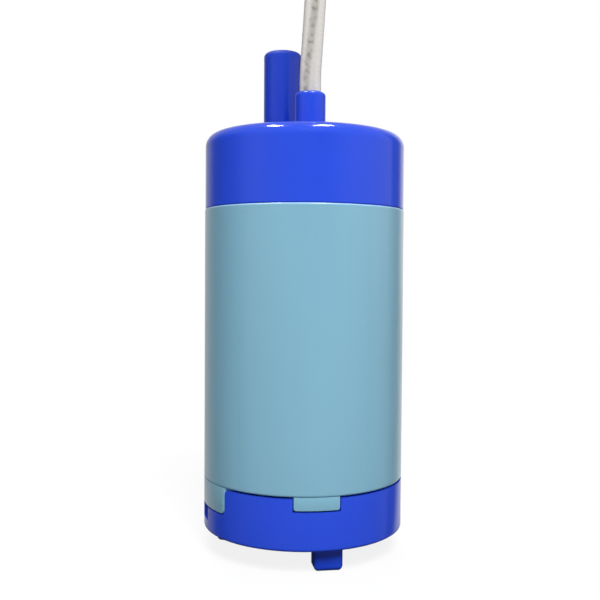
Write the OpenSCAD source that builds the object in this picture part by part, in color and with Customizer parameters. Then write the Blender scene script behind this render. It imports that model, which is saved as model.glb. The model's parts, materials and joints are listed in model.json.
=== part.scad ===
// Submersible water pump for a caravan tank, standing on its three feet.
// Millimetres, Z up. The origin is on the ground under the middle of the body.
// The front is toward -Y, and the supply lead is coiled on the ground behind.

/* [Body] */
// Outside diameter of the tube and the base
body_d = 61; // [60:0.5:66]
// Wall of the outer tube
tube_wall = 2; // [1.6:0.1:2.4]
// Length of the outer tube between base and cap
tube_len = 81.5; // [80:0.5:100]
// Rounding of the tube's outer edges
tube_edge = 0.4; // [0.2:0.1:0.8]

/* [Top cap] */
// Height of the cap above the tube
cap_h = 22.7; // [20:0.1:32]
// Rounding of the cap's top edge
cap_edge = 4; // [2:0.5:5]
// How far the cap's side stands back from the tube's
cap_step = 0.1; // [0.05:0.05:0.6]
// Wall of the cap's side
cap_wall = 2.4; // [2.2:0.1:3.2]
// Thickness of the cap's roof
cap_roof = 2.5; // [2:0.1:4]
// Length of the cap's plug inside the tube
plug_len = 10; // [8:0.5:13]
// Wall of the plug
plug_wall = 3; // [2.6:0.1:3.2]

/* [Hose spigot] */
// Outside diameter of the spigot, for a 12 mm hose
spigot_d = 12; // [10:0.5:13]
// Bore of the spigot
spigot_bore = 8.5; // [6:0.5:9]
// Height of the spigot above the cap
spigot_len = 27.9; // [20:0.1:35]
// Rounding of the spigot's top edge
spigot_edge = 1.6; // [0.4:0.1:1.6]
// Spigot's place across the cap
spigot_x = -7.2; // [-9:0.1:-5]
// Spigot's place toward the back of the cap
spigot_y = 10; // [8:0.5:12]

/* [Cable boss] */
// Outside diameter of the cable boss
boss_d = 9.2; // [8.8:0.1:12]
// Height of the boss above the cap
boss_h = 11.3; // [9:0.1:16]
// Rounding of the boss's top edge
boss_edge = 1.5; // [0.6:0.1:2]
// Boss's place across the cap
boss_x = 1.5; // [-2:0.5:4]
// Boss's place toward the back of the cap, so toward the front when below zero
boss_y = -10; // [-11:0.5:-9]

/* [Cable] */
// Width of the flat twin cable
cable_w = 6.4; // [5.6:0.1:6.6]
// Thickness of the flat twin cable
cable_t = 3.2; // [2.8:0.1:3.2]
// Radius of the coil's first turn
coil_r = 37.8; // [37:0.2:39]
// Turns of the coil
coil_turns = 3.2; // [3:0.1:3.3]
// Step between the coil's turns
coil_pitch = 3.75; // [3.7:0.05:3.85]
// Radius of a bared core with its insulation
core_r = 1.3; // [1:0.1:1.3]

/* [Base] */
// Height of the base ring
base_h = 15.4; // [14:0.1:20]
// Wall of the base ring
base_wall = 2; // [1.6:0.1:2.2]
// Thickness of the base's floor
floor_t = 2.2; // [1.6:0.1:2.6]
// Height of the feet below the base ring
foot_h = 7.1; // [4:0.1:14]
// Width of a foot
foot_w = 8.4; // [5:0.1:10]
// Thickness of a foot
foot_t = 6; // [3:0.5:7]
// Distance from the axis to a foot's outer face
foot_reach = 26.2; // [22:0.1:27]
// How far a foot stands to the side of the line that it faces
foot_side = 3.5; // [0:0.1:4]
// Dark joint between the base and the tube
base_seam = 0.4; // [0.2:0.1:0.8]
// Inlet slots in the floor
slot_count = 12; // [6:1:14]
// Width of an inlet slot
slot_w = 2.6; // [1.6:0.2:3]

/* [Lugs] */
// Width of the two short lugs
short_lug_w = 13; // [8:0.2:16]
// Depth of the two short lugs below the tube
short_lug_h = 3.75; // [2.5:0.05:6]
// Width of the two long lugs
long_lug_w = 22.8; // [18:0.2:25]
// Depth of the two long lugs below the tube
long_lug_h = 7.65; // [6:0.05:8.6]
// Rounding of a short lug's lower corners
short_lug_corner = 0.7; // [0.4:0.1:1.5]
// Rounding of a long lug's lower corners
long_lug_corner = 1.6; // [0.4:0.1:2]
// Width of the side inlet under each long lug
window_w = 9; // [6:0.2:14]

/* [Pump stage] */
// Diameter of the impeller
impeller_d = 36; // [32:0.5:36.5]
// Height of the impeller
impeller_h = 8.4; // [7:0.1:9]
// Vanes of the impeller
vane_count = 6; // [4:1:8]
// Thickness of a vane
vane_t = 1.6; // [1.2:0.1:2.2]
// Diameter of the inlet eye
eye_d = 15; // [12:0.5:17]
// Thickness of the inlet plate
plate_t = 2.5; // [2:0.1:3]
// Depth of the housing below the tube
skirt_h = 9; // [8.8:0.1:9.8]
// Height of the volute chamber
volute_h = 10; // [9.8:0.1:11]
// How far the volute widens toward the outlet port
volute_shift = 4; // [3:0.1:4.1]
// Thickness of the deck over the volute
deck_t = 4; // [3.8:0.1:5]
// Height of the motor's seat above the deck
platform_h = 4; // [3.6:0.1:5]
// Outside diameter of the shaft seal
seal_d = 16; // [15:0.5:17]

/* [Motor] */
// Outside diameter of the motor's can
can_d = 42; // [40:0.5:42.4]
// Length of the motor's can
can_len = 56; // [54:1:64]
// Wall of the motor's can
can_wall = 1.5; // [1:0.1:2]
// Diameter of the shaft
shaft_d = 5; // [4:0.5:5.5]
// Outside diameter of the two bearing bushes
bush_d = 10; // [9:0.5:11]
// Length of a bearing bush
bush_len = 5; // [4:0.5:5]
// Thickness of the field magnets
magnet_t = 3.2; // [2.5:0.1:3.6]
// Length of the armature's core
core_len = 32; // [24:1:32]
// Wall of the motor's pot
pot_wall = 2; // [1.6:0.1:2.1]

/* [Fits] */
// Running clearance between the shaft and its bushes
run_fit = 0.03; // [0.02:0.01:0.06]
// Clearance of pieces that are pressed together
press_fit = 0.02; // [0.01:0.01:0.04]
// Clearance of plugs that slide into the tube or the pot
slip_fit = 0.2; // [0.1:0.05:0.3]
// Clearance of the base round the housing and its lugs
base_fit = 0.35; // [0.3:0.05:0.5]

/* [Hidden] */
$fn = 96;
tiny = 0.1;

// Body radii and levels
body_r = body_d / 2;
tube_ir = body_r - tube_wall;
z_rim = foot_h;
z_seam = z_rim + base_h;
z_cap = z_seam + tube_len;
z_top = z_cap + cap_h;
z_roof = z_top - cap_roof;

// Motor can, and the pot round it
can_r = can_d / 2;
can_ir = can_r - can_wall;
pot_fit = 0.6;
pot_ir = can_r + pot_fit;
pot_r = pot_ir + pot_wall;

// Top cap, its plug and its boss
cap_seam = 0.1;
cap_r = body_r - cap_step;
cap_shoulder = 3;
plug_r = tube_ir - slip_fit;
// The plug goes round the motor's pot
pot_clear = 0.1;
plug_ir = max(plug_r - plug_wall, pot_r + pot_clear);
z_plug = z_cap - plug_len;
spigot_r = spigot_d / 2;
z_mouth = z_top + boss_h;
gland_lip = 4;
gland_wall = 0.8;
gland_drop = 1.5;
gland_r = boss_d / 2 - gland_wall;
cable_fit = 0.15;
cable_web = 2.2;

// Round sealing rings
ring_least = 0.96;
ring_share = 0.28;
ring_d = ring_least + ring_share * (plug_r - plug_ir);
ring_gap = 0.02;
groove_play = 0.5;
groove_w = ring_d + groove_play;
z_cap_ring = z_plug + plug_len / 2;

// Pump housing, from its lower edge up to the motor's seat
skirt_r = body_r - base_wall - base_fit;
skirt_wall = 1.2;
z_skirt = z_seam - skirt_h;
z_plate = z_skirt + plate_t;
z_volute = z_plate + volute_h;
z_deck = z_volute + deck_t;
z_can = z_deck + platform_h;
recess_r = skirt_r - skirt_wall;
plate_fit = 0.1;
impeller_r = impeller_d / 2;
volute_gap = 0.4;
// The volute stays within the seat of the inlet plate
volute_rim = 0.4;
volute_room = (recess_r - volute_rim - impeller_r - volute_gap) / 2;
volute_step = min(volute_shift, volute_room);
volute_r = impeller_r + volute_gap + volute_step;
volute_reach = volute_r + volute_step;
impeller_gap = 0.6;
z_impeller = z_plate + impeller_gap;
vane_disc = 1.6;
vane_short = 0.3;
impeller_hub_r = 4.5;
hub_floor = 1;
shaft_gap = 0.05;
eye_wall = 1.5;
eye_drop = 2;
lug_gap = 0.06;
lug_root = 0.6;
short_lug_angle = 7.8;
long_lug_angle = -70;
window_turn = -6.5;
window_sill = 1.2;
// The side inlet reaches past the rounded corners of the long lug's notch
z_window = z_seam - long_lug_h + long_lug_corner + base_fit;
z_housing_ring = z_volute + deck_t / 2;

// Shaft seal and the outlet port beside the pot
seal_r = seal_d / 2;
seal_floor = 2;
z_seal = z_volute + seal_floor;
seal_hole_gap = 0.7;
seal_hole = shaft_d / 2 + seal_hole_gap;
can_boss_drop = 0.9;
seal_t = z_can - can_boss_drop - z_seal - tiny;
seal_rim = 1.8;
seal_lip = 0.8;
port_half = 25;
port_gap = 0.3;
port_wall = 0.7;

// Screws
plate_screw_r = 1.1;
plate_screw_len = 8;
plate_head_r = 2.4;
plate_head_h = 1.6;
plate_screw_pitch = recess_r - plate_head_r;
plate_screw_turns = [100, 180, 260];
motor_screw_r = 1.45;
motor_head_r = 2.7;
motor_head_h = 2;
motor_screw_pitch = 12.5;
head_gap = 0.2;
head_sink = motor_head_h + head_gap;
screw_clear = 0.2;
driver_slot = 0.8;
driver_depth = 1;
driver_edge = 0.5;

// Base
floor_top = z_rim + floor_t;
rim_edge = 0.8;
foot_corner = 1.4;
foot_angles = [9, 129, 249];
// The notch of a short lug is nearly square and a little deep, and the wall is rounded beside a long lug
notch_corner = 0.3;
notch_drop = 0.5;
shoulder_r = 1.4;
z_wall = z_seam - base_seam;
rib_angles = [30, 150, 210, 330];
rib_w = 2.5;
seat_gap = 0.1;
slot_from = 8;
rib_depth = 2;
rib_reach = skirt_r - rib_depth;
slot_to = foot_reach - foot_t - slot_w;

// Motor pot
platform_r = pot_ir - slip_fit;
z_pot_ring = z_deck + platform_h / 2;
z_rim_can = z_can + can_len;
bell_plate = 3;
z_bell = z_rim_can + bell_plate;
pot_headroom = 12;
pot_roof = 3;
z_pot_roof = z_bell + pot_headroom;
fin_t = 1.6;
fin_h = 10;
fin_root = 0.5;
fin_angles = [45, 135, 225, 315];
grommet_neck = 5;
grommet_flange = 1.5;
grommet_lip = 1.4;
strip_drop = 2.6;
z_strip = z_pot_roof - grommet_lip - strip_drop;

// Rotor
bell_step = 1.5;
z_bell_low = z_rim_can - bell_step;
brush_drop = 7;
z_brush = z_bell_low - brush_drop;
guide_wall = 1.6;
shaft_r = shaft_d / 2;
bush_r = bush_d / 2;
end_float = 0.3;
washer_t = 0.8;
washer_step = 0.8;
washer_r = bush_r - washer_step;
bush_inset = 0.3;
z_front_bush = z_can - can_boss_drop + bush_inset;
bush_seat = 1;
can_boss_r = seal_r - tiny;
z_front_washer = z_front_bush + bush_len + end_float;
end_turn = 3;
// The core hangs below the brushes, as close as its end turns allow
turn_gap = 0.9;
z_core_end = z_brush - guide_wall - turn_gap - end_turn;
z_core = z_core_end - core_len;
magnet_seat = 0.1;
magnet_r = can_ir - magnet_seat;
magnet_half = 65;
magnet_over = 2;
air_gap = 0.6;
core_outer = magnet_r - magnet_t - air_gap;
pole_count = 5;
core_hub = 6;
tooth_w = 5;
shoe_t = 2.4;
shoe_half = 29;
coil_side = 3;
coil_slack = 0.15;
coil_half = 35;

// Commutator, brushes and end bell
bell_fit = 0.2;
comm_gap = 0.2;
z_comm = z_core_end + end_turn + comm_gap;
z_comm_end = z_bell_low - end_float;
comm_hub_r = 5;
comm_r = 7;
comm_slot = 0.6;
comm_inset = 0.5;
z_rear_bush = z_comm_end + washer_t + end_float;
bell_hub_wall = 3;
bell_hub_r = bush_r + bell_hub_wall;
shaft_short = 0.3;
z_shaft_end = z_rear_bush + bush_len - shaft_short;
bell_cover = 1.7;
z_bell_top = z_rear_bush + bush_len + bell_cover;
brush_gap = 0.1;
brush_w = 5;
spring_room = 3;
tag_inset = 2.5;
tag_x = can_ir - tag_inset;
brush_back = tag_x - spring_room;
brush_len = brush_back - comm_r;
guide_fit = 0.05;
guide_space = 2.5;
guide_from = comm_r + guide_space;
guide_to = brush_back + guide_space;
tag_t = 0.8;
tag_w = 5;
tag_rise = 8;
leaf_t = 0.3;
leaf_inset = 0.3;
capacitor = [12, 5, 8];
capacitor_gap = 0.6;
capacitor_y = bell_hub_r + capacitor_gap;
capacitor_lead_r = 0.4;
capacitor_lead_y = capacitor_y + 1;
capacitor_lead_z = z_bell + 3;

// Cable route, from the boss over the back and down, relative to the boss's mouth
mouth = [boss_x, boss_y, z_mouth];
arch = [
    [0, 0, 0], [0, 0, 5], [0.4, 0, 12], [0.9, 0, 20], [1.3, 0, 27], [1.6, 0.4, 34],
    [1.9, 3, 45], [2.2, 9.5, 54.5], [2.4, 19, 60.5], [2.5, 31, 63], [2.5, 43, 60.5],
    [2.4, 52.5, 54.5], [2, 59, 45], [1.3, 62, 32], [0.5, 62, 17], [-0.3, 62, 2]
];
// The fall down to the coil, above the ground
fall = [
    [0.9, 51, 122], [-0.6, 47.6, 100], [-2.2, 44, 78], [-3.2, 42, 58], [-3.4, 41.6, 38.3],
    [-5, 42.1, 27.8], [-9.5, 43.7, 18.3], [-16.1, 47.3, 10.8], [-23.2, 53.6, 6]
];
coil_mid = [0, 90];
coil_start = 65;
coil_rings = 24;
// Inward tuck of the coil's last quarter turn
coil_tuck = 1.2;
tie_t = 0.8;
tie_gap = 0.3;
tie_w = 4;
tie_angle = 250;
tie_head = 5;
coil_z = tie_t + tie_gap + cable_w / 2;
// Bared cores past the coil's end: step from the last turn's radius, turn past the end, share of the height
upper_tail = [[0.6, 24, 0.9], [0.3, 36, 0.6], [-0.1, 48, 0.25], [-0.6, 60, 0.04], [-1.1, 72, 0]];
lower_tail = [[-0.3, 24, 0.9], [-2, 36, 0.6], [-3.8, 48, 0.25], [-5.6, 60, 0.04], [-7.4, 72, 0]];
tip_len = 8;
tip_r = 0.8;

// A direction from the front, turned toward the right
function heading(a) = [sin(a), -cos(a), 0];
function unit(v) = v / norm(v);
function tangent(path, i) = unit(path[min(i + 1, len(path) - 1)] - path[max(i - 1, 0)]);
function coil_point(turn, r, z) = [
    coil_mid[0] - r * sin(turn),
    coil_mid[1] - r * cos(turn),
    z
];
coil_end = coil_start + 360 * coil_turns;
coil_steps = round(coil_rings * coil_turns);
function coil_radius(turn) =
    coil_r - coil_pitch * (turn - coil_start) / 360 - coil_tuck * pow(max(0, turn - coil_end + 90) / 90, 2);
function coil_heading(turn) = [-cos(turn), sin(turn), 0];
coil_turn_path = [
    for (i = [0 : coil_steps])
        let (turn = coil_start + (coil_end - coil_start) * i / coil_steps)
            coil_point(turn, coil_radius(turn), coil_z)
];
// Both ends run straight, square to what they meet
coil_in = coil_turn_path[0] - cable_w * coil_heading(coil_start);
coil_way = unit(
    coil_point(coil_end, coil_radius(coil_end), coil_z)
    - coil_point(coil_end - 1, coil_radius(coil_end - 1), coil_z)
);
coil_out = coil_turn_path[coil_steps] + cable_t * coil_way;
coil_path = concat([coil_in], coil_turn_path, [coil_out]);
coil_sides = [for (p = coil_path) [0, 0, -1]];
cable_path = concat(
    [for (p = arch) mouth + p],
    fall,
    [coil_in - cable_w * coil_heading(coil_start), coil_in]
);
// The flat side faces along the arch and, near the ground, away from the coil's middle
cable_sides = [
    for (i = [0 : len(cable_path) - 1])
        let (p = cable_path[i])
        let (out = unit([p[0] - coil_mid[0], p[1] - coil_mid[1], 0]))
            i < len(arch) ? [1, 0, 0] : cross(out, tangent(cable_path, i))
];
tail_rise = (cable_w - cable_t) / 2;
function tail_path(shape, rise) = concat(
    [for (run = [0, 2 * core_r]) coil_out + run * coil_way + [0, 0, rise]],
    [
        for (p = shape)
            let (z = core_r + (coil_z + rise - core_r) * p[2])
                coil_point(coil_end + p[1], coil_radius(coil_end) + p[0], z)
    ]
);
lead_bow = [5.5, 2.5, 5.6];
lead_back = 4.5;
lead_rise = 5;
tail_paths = [tail_path(upper_tail, tail_rise), tail_path(lower_tail, -tail_rise)];
// The two cores from the stripped end of the cable to the terminals
function lead_path(side) = [
    [boss_x + side * tail_rise, boss_y, z_strip],
    [boss_x + side * tail_rise, boss_y, z_strip - core_r],
    [side * lead_bow[0], boss_y + lead_bow[1], z_bell + lead_bow[2]],
    [side * (lead_bow[0] + tag_w), boss_y + lead_bow[1] + lead_back, z_bell + lead_rise],
    [side * (tag_x - 2 * core_r), 0, z_bell + lead_rise],
    [side * (tag_x - tiny), 0, z_bell + lead_rise]
];

// Least gap between neighbouring turns of the coil, measured on its points
coil_gap = min([
    for (i = [0 : coil_steps])
        for (j = [i + coil_rings / 2 : coil_steps + 2])
            norm(coil_path[i] - coil_path[j]) - cable_t
]);
echo(coil_gap = coil_gap);
function sum(list, i = 0) = i < len(list) ? list[i] + sum(list, i + 1) : 0;
function run_length(path) = sum([for (i = [1 : len(path) - 1]) norm(path[i] - path[i - 1])]);
echo(cable_length = run_length(cable_path) + run_length(coil_path) + run_length(tail_paths[0]) + tip_len);

// Shared shapes

module ring(outer, inner, z_low, z_high) {
    translate([0, 0, z_low])
        difference() {
            cylinder(r = outer, h = z_high - z_low);
            translate([0, 0, -1]) cylinder(r = inner, h = z_high - z_low + 2);
        }
}

// A ring's part within half an angle each side of the front
module arc_outline(outer, inner, half) {
    wedge = [for (k = [-2 : 2]) 2 * outer * [sin(half * k / 2), -cos(half * k / 2)]];
    intersection() {
        difference() {
            circle(outer);
            circle(inner);
        }
        polygon(concat([[0, 0]], wedge));
    }
}

module arc_block(outer, inner, z_low, z_high, half) {
    translate([0, 0, z_low])
        linear_extrude(z_high - z_low)
            arc_outline(outer, inner, half);
}

// Turned from the front toward the right
module facing(a) {
    rotate([0, 0, a]) children();
}

// An upright post with a rounded top edge
module post(r, h, edge) {
    rotate_extrude() {
        square([r, h - edge]);
        square([r - edge, h]);
        translate([r - edge, h - edge]) circle(edge, $fn = 64);
    }
}

// Hangs below its top line, with rounded lower corners
module drop_outline(w, h, corner) {
    translate([-w / 2, -h + corner]) square([w, h - corner]);
    translate([-w / 2 + corner, -h]) square([w - 2 * corner, corner]);
    for (s = [-1, 1])
        translate([s * (w / 2 - corner), -h + corner]) circle(corner, $fn = 48);
}

// A drop outline cut through from one radius to another, at the front
module drop_block(w, h, corner, r_from, r_to, z_high) {
    translate([0, -r_from, z_high])
        rotate([90, 0, 0])
            linear_extrude(r_to - r_from)
                drop_outline(w, h, corner);
}

// A groove for a sealing ring that meets the bore of the given radius
module ring_groove(outer, z) {
    ring(outer, outer - ring_d, z - groove_w / 2, z + groove_w / 2);
}

module sealing_ring(outer, z) {
    translate([0, 0, z])
        rotate_extrude()
            translate([outer - ring_d / 2, 0]) circle(ring_d / 2 - ring_gap, $fn = 48);
}

// A screwdriver's slot in the underside of a head
module driver_cut(head_r) {
    cube([2 * (head_r - driver_edge), driver_slot, 2 * driver_depth], center = true);
}

module cable_outline(grow) {
    for (s = [-1, 1])
        translate([s * tail_rise, 0]) circle(cable_t / 2 + grow, $fn = 48);
    square([cable_w - cable_t, cable_web + 2 * grow], center = true);
}

// One closed tube through the path's points, with its width along the given sides
module swept(path, sides, section) {
    count = len(section);
    last = len(path) - 1;
    rings = [
        for (i = [0 : last])
            let (t = tangent(path, i))
            let (s = unit(sides[i] - (sides[i] * t) * t))
                for (q = section) path[i] + q[0] * s + q[1] * cross(t, s)
    ];
    first_mid = len(rings);
    walls = [
        for (i = [0 : last - 1], k = [0 : count - 1])
            let (a = i * count + k, b = i * count + (k + 1) % count)
                each [[a, a + count, b + count], [a, b + count, b]]
    ];
    ends = [
        for (k = [0 : count - 1])
            let (next = (k + 1) % count, far = last * count)
                each [[first_mid, k, next], [first_mid + 1, far + next, far + k]]
    ];
    polyhedron(concat(rings, [path[0], path[last]]), concat(walls, ends));
}

// Half of the flat cable's outline has five points, with a waist between its cores
lobe_angles = [-100, -50, 0, 50, 100];
cable_section = [
    for (s = [1, -1])
        each concat(
            [for (a = lobe_angles) s * [tail_rise + cable_t / 2 * cos(a), cable_t / 2 * sin(a)]],
            [[0, s * cable_web / 2]]
        )
];
core_section = [for (a = [0 : 45 : 315]) core_r * [cos(a), sin(a)]];

// Casing

module cap_section() {
    difference() {
        union() {
            translate([0, z_cap + cap_seam]) square([cap_r, cap_h - cap_seam - cap_edge]);
            translate([0, z_top - cap_edge]) square([cap_r - cap_edge, cap_edge]);
            translate([cap_r - cap_edge, z_top - cap_edge]) circle(cap_edge);
            translate([0, z_plug]) square([plug_r, plug_len + cap_shoulder]);
        }
        translate([-1, z_plug - 1]) square([plug_ir + 1, z_roof - z_plug + 1]);
        translate([-1, z_cap + cap_shoulder])
            square([cap_r - cap_wall + 1, z_roof - z_cap - cap_shoulder]);
        translate([tube_ir - ring_d, z_cap_ring - groove_w / 2]) square([ring_d, groove_w]);
    }
}

module top_cap() {
    color("royalblue")
        difference() {
            union() {
                rotate_extrude() cap_section();
                translate([spigot_x, spigot_y, z_roof + tiny])
                    post(spigot_r, spigot_len + cap_roof - tiny, spigot_edge);
                translate([boss_x, boss_y, z_roof + tiny])
                    post(boss_d / 2, boss_h + cap_roof - tiny, boss_edge);
            }
            translate([spigot_x, spigot_y, z_roof - 1])
                cylinder(d = spigot_bore, h = spigot_len + cap_roof + 2);
            translate([boss_x, boss_y, z_roof - 1])
                cylinder(r = gland_r, h = cap_roof + boss_h - gland_lip + 1);
            translate([boss_x, boss_y, z_top])
                linear_extrude(boss_h + 1)
                    cable_outline(cable_fit);
        }
}

module cap_o_ring() {
    color("dimgray") sealing_ring(tube_ir, z_cap_ring);
}

module outer_tube() {
    color("lightblue")
        rotate_extrude()
            difference() {
                union() {
                    translate([0, z_seam + tube_edge]) square([body_r, tube_len - 2 * tube_edge]);
                    translate([0, z_seam]) square([body_r - tube_edge, tube_len]);
                    for (z = [z_seam + tube_edge, z_cap - tube_edge])
                        translate([body_r - tube_edge, z]) circle(tube_edge, $fn = 48);
                }
                translate([-1, z_seam - 1]) square([tube_ir + 1, tube_len + 2]);
            }
}

// Pump stage

module lug(w, h, corner, a) {
    facing(a)
        intersection() {
            ring(body_r, skirt_r - lug_root, z_seam - h - 1, z_seam - lug_gap);
            drop_block(w, h, corner, skirt_r / 2, body_r + 1, z_seam);
        }
}

module pump_housing() {
    color("powderblue")
        difference() {
            union() {
                translate([0, 0, z_skirt]) cylinder(r = skirt_r, h = skirt_h);
                translate([0, 0, z_seam - tiny]) cylinder(r = plug_r, h = z_deck - z_seam + tiny);
                translate([0, 0, z_deck - tiny]) cylinder(r = platform_r, h = platform_h + tiny);
                for (half = [0, 180]) {
                    lug(short_lug_w, short_lug_h, short_lug_corner, short_lug_angle + half);
                    lug(long_lug_w, long_lug_h, long_lug_corner, long_lug_angle + half);
                }
            }
            // Seat of the inlet plate, and the volute above it
            translate([0, 0, z_skirt - 1]) cylinder(r = recess_r, h = plate_t + 1);
            translate([0, -volute_step, z_plate - 1]) cylinder(r = volute_r, h = volute_h + 1);
            arc_block(volute_reach - port_wall, pot_r + port_gap, z_volute - 1, z_deck + 1, port_half);
            // Seat of the shaft seal
            translate([0, 0, z_volute - 1]) cylinder(r = seal_hole, h = deck_t);
            translate([0, 0, z_seal]) cylinder(r = seal_r, h = z_can - z_seal + 1);
            // Grooves of the two sealing rings
            ring_groove(tube_ir, z_housing_ring);
            ring_groove(pot_ir, z_pot_ring);
            // Screw holes
            for (a = [90, 270])
                facing(a)
                    translate([0, -motor_screw_pitch, z_volute - 1]) {
                        cylinder(r = motor_head_r + screw_clear, h = head_sink + 1);
                        cylinder(r = motor_screw_r + screw_clear, h = z_can - z_volute + 2);
                    }
            for (a = plate_screw_turns)
                facing(a)
                    translate([0, -plate_screw_pitch, z_plate - 1])
                        cylinder(r = plate_screw_r + press_fit, h = plate_screw_len);
        }
}

module housing_o_ring() {
    color("dimgray") sealing_ring(tube_ir, z_housing_ring);
}

module inlet_plate() {
    color("royalblue")
        difference() {
            union() {
                translate([0, 0, z_skirt]) cylinder(r = recess_r - plate_fit, h = plate_t);
                translate([0, 0, z_skirt - eye_drop]) cylinder(r = eye_d / 2 + eye_wall, h = eye_drop + tiny);
            }
            translate([0, 0, z_skirt - eye_drop - 1]) cylinder(d = eye_d, h = plate_t + eye_drop + 2);
            for (a = plate_screw_turns)
                facing(a)
                    translate([0, -plate_screw_pitch, z_skirt - 1])
                        cylinder(r = plate_screw_r + screw_clear, h = plate_t + 2);
        }
}

module inlet_plate_screws() {
    color("silver")
        for (a = plate_screw_turns)
            facing(a)
                translate([0, -plate_screw_pitch, z_skirt - plate_head_h]) {
                    difference() {
                        cylinder(r = plate_head_r, h = plate_head_h);
                        driver_cut(plate_head_r);
                    }
                    cylinder(r = plate_screw_r, h = plate_head_h + plate_screw_len);
                }
}

// One foot, rounded along its lower edges
module foot() {
    translate([foot_side, 0, 0])
        intersection() {
            drop_block(foot_w, foot_h + tiny, foot_corner, foot_reach - foot_t, foot_reach, z_rim + tiny);
            translate([0, -foot_reach + foot_t / 2, 0])
                rotate([0, 0, 90])
                    drop_block(foot_t, foot_h + tiny, foot_corner, -foot_w, foot_w, z_rim + tiny);
        }
}

// What rounds the wall's two upper corners beside a notch of the given half width
module shoulder_cut(half) {
    translate([0, -skirt_r / 2, z_wall])
        rotate([90, 0, 0])
            linear_extrude(body_r + 1 - skirt_r / 2)
                for (s = [0, 1])
                    mirror([s, 0])
                        difference() {
                            translate([half - tiny, -shoulder_r]) square([shoulder_r + tiny, shoulder_r + tiny]);
                            translate([half + shoulder_r, -shoulder_r]) circle(shoulder_r, $fn = 48);
                        }
}

module base() {
    color("royalblue")
        difference() {
            union() {
                rotate_extrude() {
                    translate([0, z_rim + rim_edge]) square([body_r, floor_t - rim_edge]);
                    translate([0, z_rim]) square([body_r - rim_edge, floor_t]);
                    translate([body_r - rim_edge, z_rim + rim_edge]) circle(rim_edge, $fn = 48);
                }
                ring(body_r, body_r - base_wall, floor_top - tiny, z_wall);
                for (a = foot_angles)
                    facing(a) foot();
                for (a = rib_angles)
                    facing(a)
                        translate([-rib_w / 2, -body_r + base_wall / 2, floor_top - tiny])
                            cube([
                                rib_w,
                                body_r - base_wall / 2 - rib_reach,
                                z_skirt - seat_gap - floor_top + tiny
                            ]);
            }
            for (half = [0, 180]) {
                facing(short_lug_angle + half)
                    drop_block(short_lug_w + 2 * base_fit, short_lug_h + notch_drop, notch_corner,
                        skirt_r / 2, body_r + 1, z_seam);
                facing(long_lug_angle + half) {
                    drop_block(long_lug_w + 2 * base_fit, long_lug_h + notch_drop, long_lug_corner + base_fit,
                        skirt_r / 2, body_r + 1, z_seam);
                    shoulder_cut(long_lug_w / 2 + base_fit);
                }
                facing(long_lug_angle + window_turn + half)
                    translate([-window_w / 2, -body_r - 1, floor_top + window_sill])
                        cube([window_w, base_wall + 3, z_window - floor_top - window_sill]);
            }
            for (k = [0 : slot_count - 1])
                rotate([0, 0, (k + 0.5) * 360 / slot_count])
                    translate([0, 0, z_rim - 1]) {
                        for (r = [slot_from, slot_to])
                            translate([0, -r, 0]) cylinder(d = slot_w, h = floor_t + 2, $fn = 32);
                        translate([-slot_w / 2, -slot_to, 0])
                            cube([slot_w, slot_to - slot_from, floor_t + 2]);
                    }
        }
}

module impeller() {
    // The vane's arc passes the axis and reaches past the rim
    curl = 0.56 * impeller_r;
    color("white")
        translate([0, 0, z_impeller])
            difference() {
                union() {
                    translate([0, 0, impeller_h - vane_disc]) cylinder(r = impeller_r, h = vane_disc);
                    cylinder(r = impeller_hub_r, h = impeller_h);
                    for (k = [0 : vane_count - 1])
                        rotate([0, 0, k * 360 / vane_count])
                            linear_extrude(impeller_h - vane_disc + tiny)
                                intersection() {
                                    translate([0, curl])
                                        difference() {
                                            circle(curl + vane_t / 2);
                                            circle(curl - vane_t / 2);
                                        }
                                    square(impeller_r);
                                    circle(impeller_r - vane_short);
                                }
                }
                translate([0, 0, hub_floor]) cylinder(r = shaft_r + press_fit, h = impeller_h);
            }
}

module shaft_seal() {
    lip = shaft_r + run_fit;
    web = seal_t - seal_rim;
    color("black")
        translate([0, 0, z_seal])
            rotate_extrude()
                polygon([
                    [seal_r - press_fit, 0], [seal_r - press_fit, seal_t], [lip + seal_lip, seal_t],
                    [lip, web], [lip, web - seal_lip], [lip + 2 * seal_lip, web + seal_lip / 2],
                    [seal_r - seal_rim, web + seal_lip / 2], [seal_r - seal_rim, 0]
                ]);
}

// Rotor

module shaft() {
    color("silver")
        translate([0, 0, z_impeller + hub_floor + shaft_gap])
            cylinder(r = shaft_r, h = z_shaft_end - z_impeller - hub_floor - shaft_gap);
}

module thrust_washers() {
    color("tan")
        for (z = [z_front_washer, z_comm_end])
            ring(washer_r, shaft_r + press_fit, z, z + washer_t);
}

module spacer_collar() {
    color("white")
        ring(washer_r, shaft_r + press_fit, z_front_washer + washer_t, z_core);
}

module armature_core() {
    color("gray")
        translate([0, 0, z_core])
            linear_extrude(core_len)
                difference() {
                    union() {
                        circle(core_hub);
                        for (k = [0 : pole_count - 1])
                            rotate(k * 360 / pole_count) {
                                translate([-tooth_w / 2, -core_outer + shoe_t / 2])
                                    square([tooth_w, core_outer - (shoe_t + core_hub) / 2]);
                                arc_outline(core_outer, core_outer - shoe_t, shoe_half);
                            }
                    }
                    circle(shaft_r + press_fit);
                }
}

module armature_windings() {
    inner = tooth_w + 2 * coil_slack;
    outer = tooth_w + 2 * coil_side;
    deep = core_outer - shoe_t - coil_slack;
    z_low = z_core - end_turn;
    color("chocolate")
        for (k = [0 : pole_count - 1])
            facing(k * 360 / pole_count)
                intersection() {
                    arc_block(deep, core_hub + coil_slack, z_low, z_core_end + end_turn, coil_half);
                    difference() {
                        translate([-outer / 2, -deep, z_low])
                            cube([outer, deep, core_len + 2 * end_turn]);
                        translate([-inner / 2, -deep - 1, z_core - coil_slack])
                            cube([inner, deep + 2, core_len + 2 * coil_slack]);
                    }
                }
}

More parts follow.
